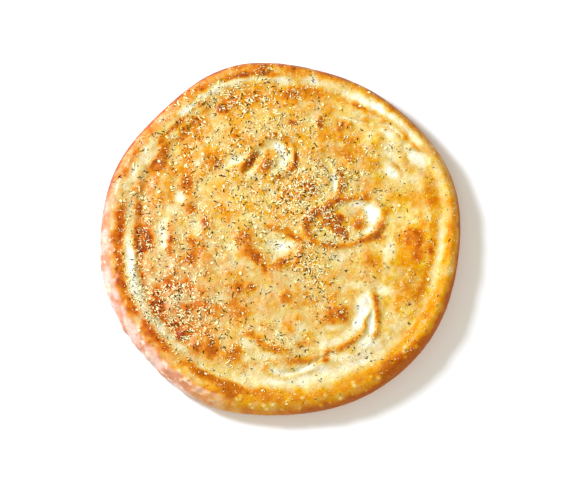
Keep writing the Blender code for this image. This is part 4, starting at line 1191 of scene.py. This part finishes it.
def herb_material():
    """Dried leaf and stem."""
    recipe = Recipe("dried_herb")
    shade = recipe.value("shade")
    look = recipe.blend(shade.step(0.1, 0.6), colour(*OLIVE), colour(*SCORCHED))
    look = recipe.blend(shade.step(0.88, 0.97), look, colour(*LEAF_GREEN))
    recipe.set(Base_Color=look, Roughness=0.8, Specular_IOR_Level=0.0)
    return recipe.material


cheese_look, herb_look = cheese_material(), herb_material()
print("materials:", cheese_look.name, herb_look.name)

# %% [markdown]
# ## The largest pieces
#
# The longest shreds, the thickest crumbs and the longest bits of stem are part of the solid bread
# too, so they lie here at the very same places, drawn by the same rule: a place is kept when a
# draw falls below the share of the topping there and no other large piece is near. Each shred
# follows the crust step by step, a little sunk in it.

# %% Lay the largest pieces
SHRED_COUNT, CRUMB_COUNT, STEM_COUNT = 14, 84, 8
SHRED_LENGTH, SHRED_THICKNESS = (3.2, 4.8), (1.1, 1.4)
# a crumb's length, its width and thickness as shares of that, and how uneven it is
CRUMB_LENGTH = (2.2, 3.6)
CRUMB_WIDTH_SHARE, CRUMB_THICKNESS_SHARE = (0.55, 0.8), (0.45, 0.6)
CRUMB_UNEVENNESS = (0.86, 1.12)
STEM_LENGTH, STEM_THICKNESS = (4.5, 7.0), 0.8
SHRED_BEND, STEM_BEND = 60.0, 20.0
STRAND_END_SHARE = 0.75
TOPPING_GAP = 7.5
SINK_SHARE = 0.24
SIDES, STEPS = 8, 9


def topping_places(count):
    """Places for the large toppings, each clear of the others."""
    draw = np.random.RandomState(SEED)
    reach = MEAN_RADIUS - WALL_WIDTH
    places = []
    while len(places) < count:
        x, y = draw.uniform(-reach, reach, 2)
        share = topping_share(np.array([[x, y]]))[0] + LARGE_EXTRA_SHARE
        keep = draw.uniform() < share and math.hypot(x, y) < reach
        if keep and all(math.hypot(x - a, y - b) > TOPPING_GAP for a, b in places):
            places.append((x, y))
    return places


def crust_point(tree, x, y):
    """The point of the crust under a place, and the way the crust faces there."""
    point, normal, _, _ = tree.ray_cast(Vector((x, y, 2 * CREST_HEIGHT)) * MM, Vector((0, 0, -1)))
    return point, normal


def close_tube(work, rings):
    """Faces between neighbouring rings of vertices, and a cap at each end."""
    for ring, following in zip(rings, rings[1:]):
        for corners in zip(ring, ring[1:] + ring[:1], following[1:] + following[:1], following):
            work.faces.new(corners)
    work.faces.new(rings[0])
    work.faces.new(rings[-1])


def add_strand(work, tree, place, length, thickness, bend, shade, draw):
    """A bent strand that follows the crust."""
    heading = draw.uniform(0, 2 * math.pi)
    curl = math.radians(draw.uniform(-bend, bend))
    up = crust_point(tree, *place)[1]
    x = place[0] - math.cos(heading) * length / 2
    y = place[1] - math.sin(heading) * length / 2
    rings = []
    for step in range(STEPS + 1):
        across = up.cross(Vector((math.cos(heading), math.sin(heading), 0.0))).normalized()
        size = thickness / 2 * (STRAND_END_SHARE if step in (0, STEPS) else 1.0) * MM
        middle = crust_point(tree, x, y)[0] + up * thickness * (0.5 - SINK_SHARE) * MM
        ring = []
        for side in range(SIDES):
            turn = 2 * math.pi * side / SIDES
            vertex = work.verts.new(middle + across * size * math.cos(turn) + up * size * math.sin(turn))
            vertex[work.verts.layers.float["shade"]] = shade
            ring.append(vertex)
        rings.append(ring)
        x += math.cos(heading) * length / STEPS
        y += math.sin(heading) * length / STEPS
        heading += curl / STEPS
    close_tube(work, rings)


def add_crumb(work, tree, place, length, shade, draw):
    """A rough crumb partly sunk in the crust."""
    point, normal = crust_point(tree, *place)
    turn = Matrix.Rotation(draw.uniform(0, 2 * math.pi), 4, 'Z')
    width, thickness = (length * draw.uniform(*part) for part in (CRUMB_WIDTH_SHARE, CRUMB_THICKNESS_SHARE))
    size = Matrix.Diagonal((length, width, thickness, 1.0))
    lean = Vector((0, 0, 1)).rotation_difference(normal).to_matrix().to_4x4()
    middle = Matrix.Translation(point + normal * length * SINK_SHARE * 0.5 * MM)
    made = bmesh.ops.create_icosphere(work, subdivisions=2, radius=0.5)["verts"]
    rough = np.random.RandomState(int(shade * 1000)).uniform(*CRUMB_UNEVENNESS, len(made))
    for vertex, share in zip(made, rough):
        vertex.co *= share
        vertex[work.verts.layers.float["shade"]] = shade
    bmesh.ops.transform(work, matrix=middle @ lean @ turn @ Matrix.Scale(MM, 4) @ size, verts=made)


def new_work():
    """An empty bmesh whose vertices carry a shade."""
    work = bmesh.new()
    work.verts.layers.float.new("shade")
    return work


def finish_work(work, name, look):
    """Turn a bmesh into an object with a material."""
    bmesh.ops.recalc_face_normals(work, faces=work.faces[:])
    mesh = mesh_from(work, name)
    mesh.shade_smooth()
    mesh.materials.append(look)
    return add_object(name, mesh)


def lay_large_toppings(surface):
    """The large shreds and crumbs as one piece, and the large stems as another."""
    tree = BVHTree.FromPolygons([vertex.co for vertex in surface.vertices],
                                [face.vertices[:] for face in surface.polygons])
    cheese, stems = new_work(), new_work()
    draw, shades = np.random.RandomState(SEED + 1), np.random.RandomState(SEED + 2)
    kinds = ["stem"] * STEM_COUNT + ["shred"] * SHRED_COUNT + ["crumb"] * CRUMB_COUNT
    places = topping_places(len(kinds))
    draw.shuffle(kinds)
    for kind, place in zip(kinds, places):
        shade = shades.uniform()
        if kind == "stem":
            length = draw.uniform(*STEM_LENGTH)
            add_strand(stems, tree, place, length, STEM_THICKNESS, STEM_BEND, shade, draw)
        elif kind == "shred":
            length, thickness = draw.uniform(*SHRED_LENGTH), draw.uniform(*SHRED_THICKNESS)
            add_strand(cheese, tree, place, length, thickness, SHRED_BEND, shade, draw)
        else:
            add_crumb(cheese, tree, place, draw.uniform(*CRUMB_LENGTH), shade, draw)
    return (finish_work(cheese, "large_cheese", cheese_look), "grated_cheese"), (
        finish_work(stems, "large_stems", herb_look), "dried_herb")


toppings = list(lay_large_toppings(crust.data))
print("large pieces:", [len(piece.data.polygons) for piece, _ in toppings], "faces")

# %% Shapes to scatter
UNEVENNESS = 0.28
ROD_END_SHARE = 0.5
ROD_RISE_SHARE = 0.34


def rod(name, draw, size, bend, lift, sides, steps):
    """A bent, uneven rod along +X with blunt ends, a little sunk in the plane at height zero."""
    length, width, thickness = (draw.uniform(*part) * MM for part in size)
    bend, lift = math.radians(draw.uniform(*bend)), draw.uniform(*lift) * MM
    work = bmesh.new()
    rings = []
    place, heading = Vector((-length / 2, 0.0, 0.0)), -bend / 2
    for step in range(steps + 1):
        share = step / steps
        along = Vector((math.cos(heading), math.sin(heading), 0.0))
        across = Vector((-along.y, along.x, 0.0))
        middle = place + Vector((0.0, 0.0, thickness * ROD_RISE_SHARE + lift * (2 * share - 1) ** 2))
        taper = ROD_END_SHARE if step in (0, steps) else 1.0
        ring = []
        for side in range(sides):
            turn = 2 * math.pi * (side + 0.5) / sides
            uneven = taper * draw.uniform(1.0 - UNEVENNESS, 1.0 + UNEVENNESS) / 2
            ring.append(work.verts.new(middle + across * (width * uneven * math.cos(turn))
                                       + Vector((0, 0, thickness * uneven * math.sin(turn)))))
        rings.append(ring)
        place = place + along * length / steps
        heading += bend / steps
    close_tube(work, rings)
    bmesh.ops.recalc_face_normals(work, faces=work.faces[:])
    return mesh_from(work, name)


def shape_set(name, count, *measures):
    """A collection with a few shapes of one kind, outside the scene."""
    shapes = bpy.data.collections.new(name)
    draw = np.random.RandomState(SEED + len(name))
    for number in range(count):
        shapes.objects.link(bpy.data.objects.new(f"{name}_{number}", rod(name, draw, *measures)))
    return shapes


# name, how many shapes, the ranges of length, width and thickness, of the bend and of the lifted
# ends, then sides round and steps along
grains = shape_set("cheese_grain", 8, ((1.9, 3.3), (0.9, 1.3), (0.8, 1.2)), (-40, 40), (0.0, 0.0), 5, 2)
powder = shape_set("cheese_powder", 5, ((1.0, 1.7), (0.9, 1.3), (0.7, 1.1)), (0, 0), (0.0, 0.0), 4, 1)
shreds = shape_set("cheese_shred", 8, ((2.4, 3.8), (0.9, 1.3), (0.8, 1.1)), (10, 80), (0.0, 0.5), 4, 4)
flakes = shape_set("herb_flake", 8, ((1.7, 3.8), (1.0, 1.6), (0.4, 0.5)), (-40, 40), (0.1, 0.4), 4, 2)
specks = shape_set("herb_speck", 4, ((1.0, 1.7), (0.8, 1.2), (0.4, 0.5)), (0, 0), (0.0, 0.0), 4, 1)
stems = shape_set("herb_stem", 5, ((3.5, 6.5), (0.6, 0.7), (0.6, 0.7)), (-40, 40), (0.1, 0.1), 4, 3)

# %% The scattering tree
SCATTER_INPUTS = (
    ("Surface", 'NodeSocketGeometry'), ("Shapes", 'NodeSocketCollection'), ("Share", 'NodeSocketString'),
    ("Spacing", 'NodeSocketFloat'), ("Density", 'NodeSocketFloat'), ("Seed", 'NodeSocketInt'),
    ("Smallest", 'NodeSocketFloat'), ("Lean", 'NodeSocketFloat'), ("Material", 'NodeSocketMaterial'),
)


def scatter_tree():
    """A tree that strews a few shapes over a surface and ends in plain geometry."""
    tree = bpy.data.node_groups.new("scatter", 'GeometryNodeTree')
    for name, kind in SCATTER_INPUTS:
        tree.interface.new_socket(name=name, in_out='INPUT', socket_type=kind)
    tree.interface.new_socket(name="Pieces", in_out='OUTPUT', socket_type='NodeSocketGeometry')
    given = tree.nodes.new("NodeGroupInput").outputs

    def node(kind, settings, sockets):
        return add_node(tree, kind, settings, sockets).outputs

    share = node("GeometryNodeInputNamedAttribute", {"data_type": 'FLOAT'}, {"Name": given["Share"]})
    points = node("GeometryNodeDistributePointsOnFaces", {"distribute_method": 'POISSON'}, {
        "Mesh": given["Surface"], "Distance Min": given["Spacing"], "Density Max": given["Density"],
        "Density Factor": share["Attribute"], "Seed": given["Seed"]})
    shade = node("FunctionNodeRandomValue", {"data_type": 'FLOAT'}, {"Seed": given["Seed"]})
    named = node("GeometryNodeStoreNamedAttribute", {"data_type": 'FLOAT', "domain": 'POINT'}, {
        "Geometry": points["Points"], "Name": "shade", "Value": shade[1]})
    lean = node("ShaderNodeCombineXYZ", {}, {"X": given["Lean"], "Y": given["Lean"], "Z": math.pi})
    lowest = node("ShaderNodeVectorMath", {"operation": 'SCALE'}, {"Vector": lean[0], "Scale": -1.0})
    turn = node("FunctionNodeRandomValue", {"data_type": 'FLOAT_VECTOR'}, {
        "Min": lowest[0], "Max": lean[0], "Seed": given["Seed"]})
    turned = node("FunctionNodeRotateRotation", {"rotation_space": 'LOCAL'}, {
        "Rotation": points["Rotation"],
        "Rotate By": node("FunctionNodeEulerToRotation", {}, {"Euler": turn[0]})[0]})
    size = node("FunctionNodeRandomValue", {"data_type": 'FLOAT'}, {2: given["Smallest"], 3: 1.0})
    shapes = node("GeometryNodeCollectionInfo", {}, {
        "Collection": given["Shapes"], "Separate Children": True, "Reset Children": True})
    strewn = node("GeometryNodeInstanceOnPoints", {}, {
        "Points": named["Geometry"], "Instance": shapes["Instances"], "Pick Instance": True,
        "Rotation": turned[0], "Scale": size[1]})
    solid = node("GeometryNodeRealizeInstances", {}, {"Geometry": strewn["Instances"]})
    dressed = node("GeometryNodeSetMaterial", {}, {
        "Geometry": solid["Geometry"], "Material": given["Material"]})
    tree.links.new(dressed["Geometry"], tree.nodes.new("NodeGroupOutput").inputs["Pieces"])
    return tree


def strew(name, tree, surface, **values):
    """Run the tree on the surface and keep what it made as a plain mesh."""
    obj = add_object(name, surface.data)
    modifier = obj.modifiers.new("scatter", 'NODES')
    modifier.node_group = tree
    names = {item.name: item.identifier for item in tree.interface.items_tree}
    for key, value in values.items():
        modifier[names[key]] = value
    evaluated = obj.evaluated_get(bpy.context.evaluated_depsgraph_get())
    mesh = bpy.data.meshes.new_from_object(evaluated)
    obj.modifiers.clear()
    obj.data = mesh
    mesh.name = name
    return obj


tree = scatter_tree()
print("tree nodes:", len(tree.nodes))

# %% Strew the toppings
SCATTERS = (
    ("cheese_grains", grains, "cheese_share", 0.0010, 230000.0, 11, 0.5, 0.30, cheese_look),
    ("cheese_powder", powder, "powder_share", 0.0009, 210000.0, 15, 0.5, 0.30, cheese_look),
    ("cheese_shreds", shreds, "cheese_share", 0.0016, 42000.0, 12, 0.6, 0.25, cheese_look),
    ("herb_flakes", flakes, "herb_share", 0.0010, 170000.0, 13, 0.5, 0.35, herb_look),
    ("herb_specks", specks, "speck_share", 0.0010, 90000.0, 16, 0.5, 0.30, herb_look),
    ("herb_stems", stems, "herb_share", 0.0120, 3600.0, 14, 0.6, 0.10, herb_look),
)
for name, shapes, share, spacing, density, seed, smallest, lean, look in SCATTERS:
    piece = strew(name, tree, crust, Shapes=shapes, Share=share, Spacing=spacing, Density=density,
                  Seed=seed, Smallest=smallest, Lean=lean, Material=look)
    toppings.append((piece, look.name))
    print(name, len(piece.data.polygons), "faces")
for shapes in (grains, powder, shreds, flakes, specks, stems):
    for shape in list(shapes.objects):
        bpy.data.objects.remove(shape)
    bpy.data.collections.remove(shapes)

# %% Hand over to the frame
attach(crust, "root")
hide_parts("focaccia")
for piece, slot in toppings:
    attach(piece, "root")
    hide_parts("focaccia")
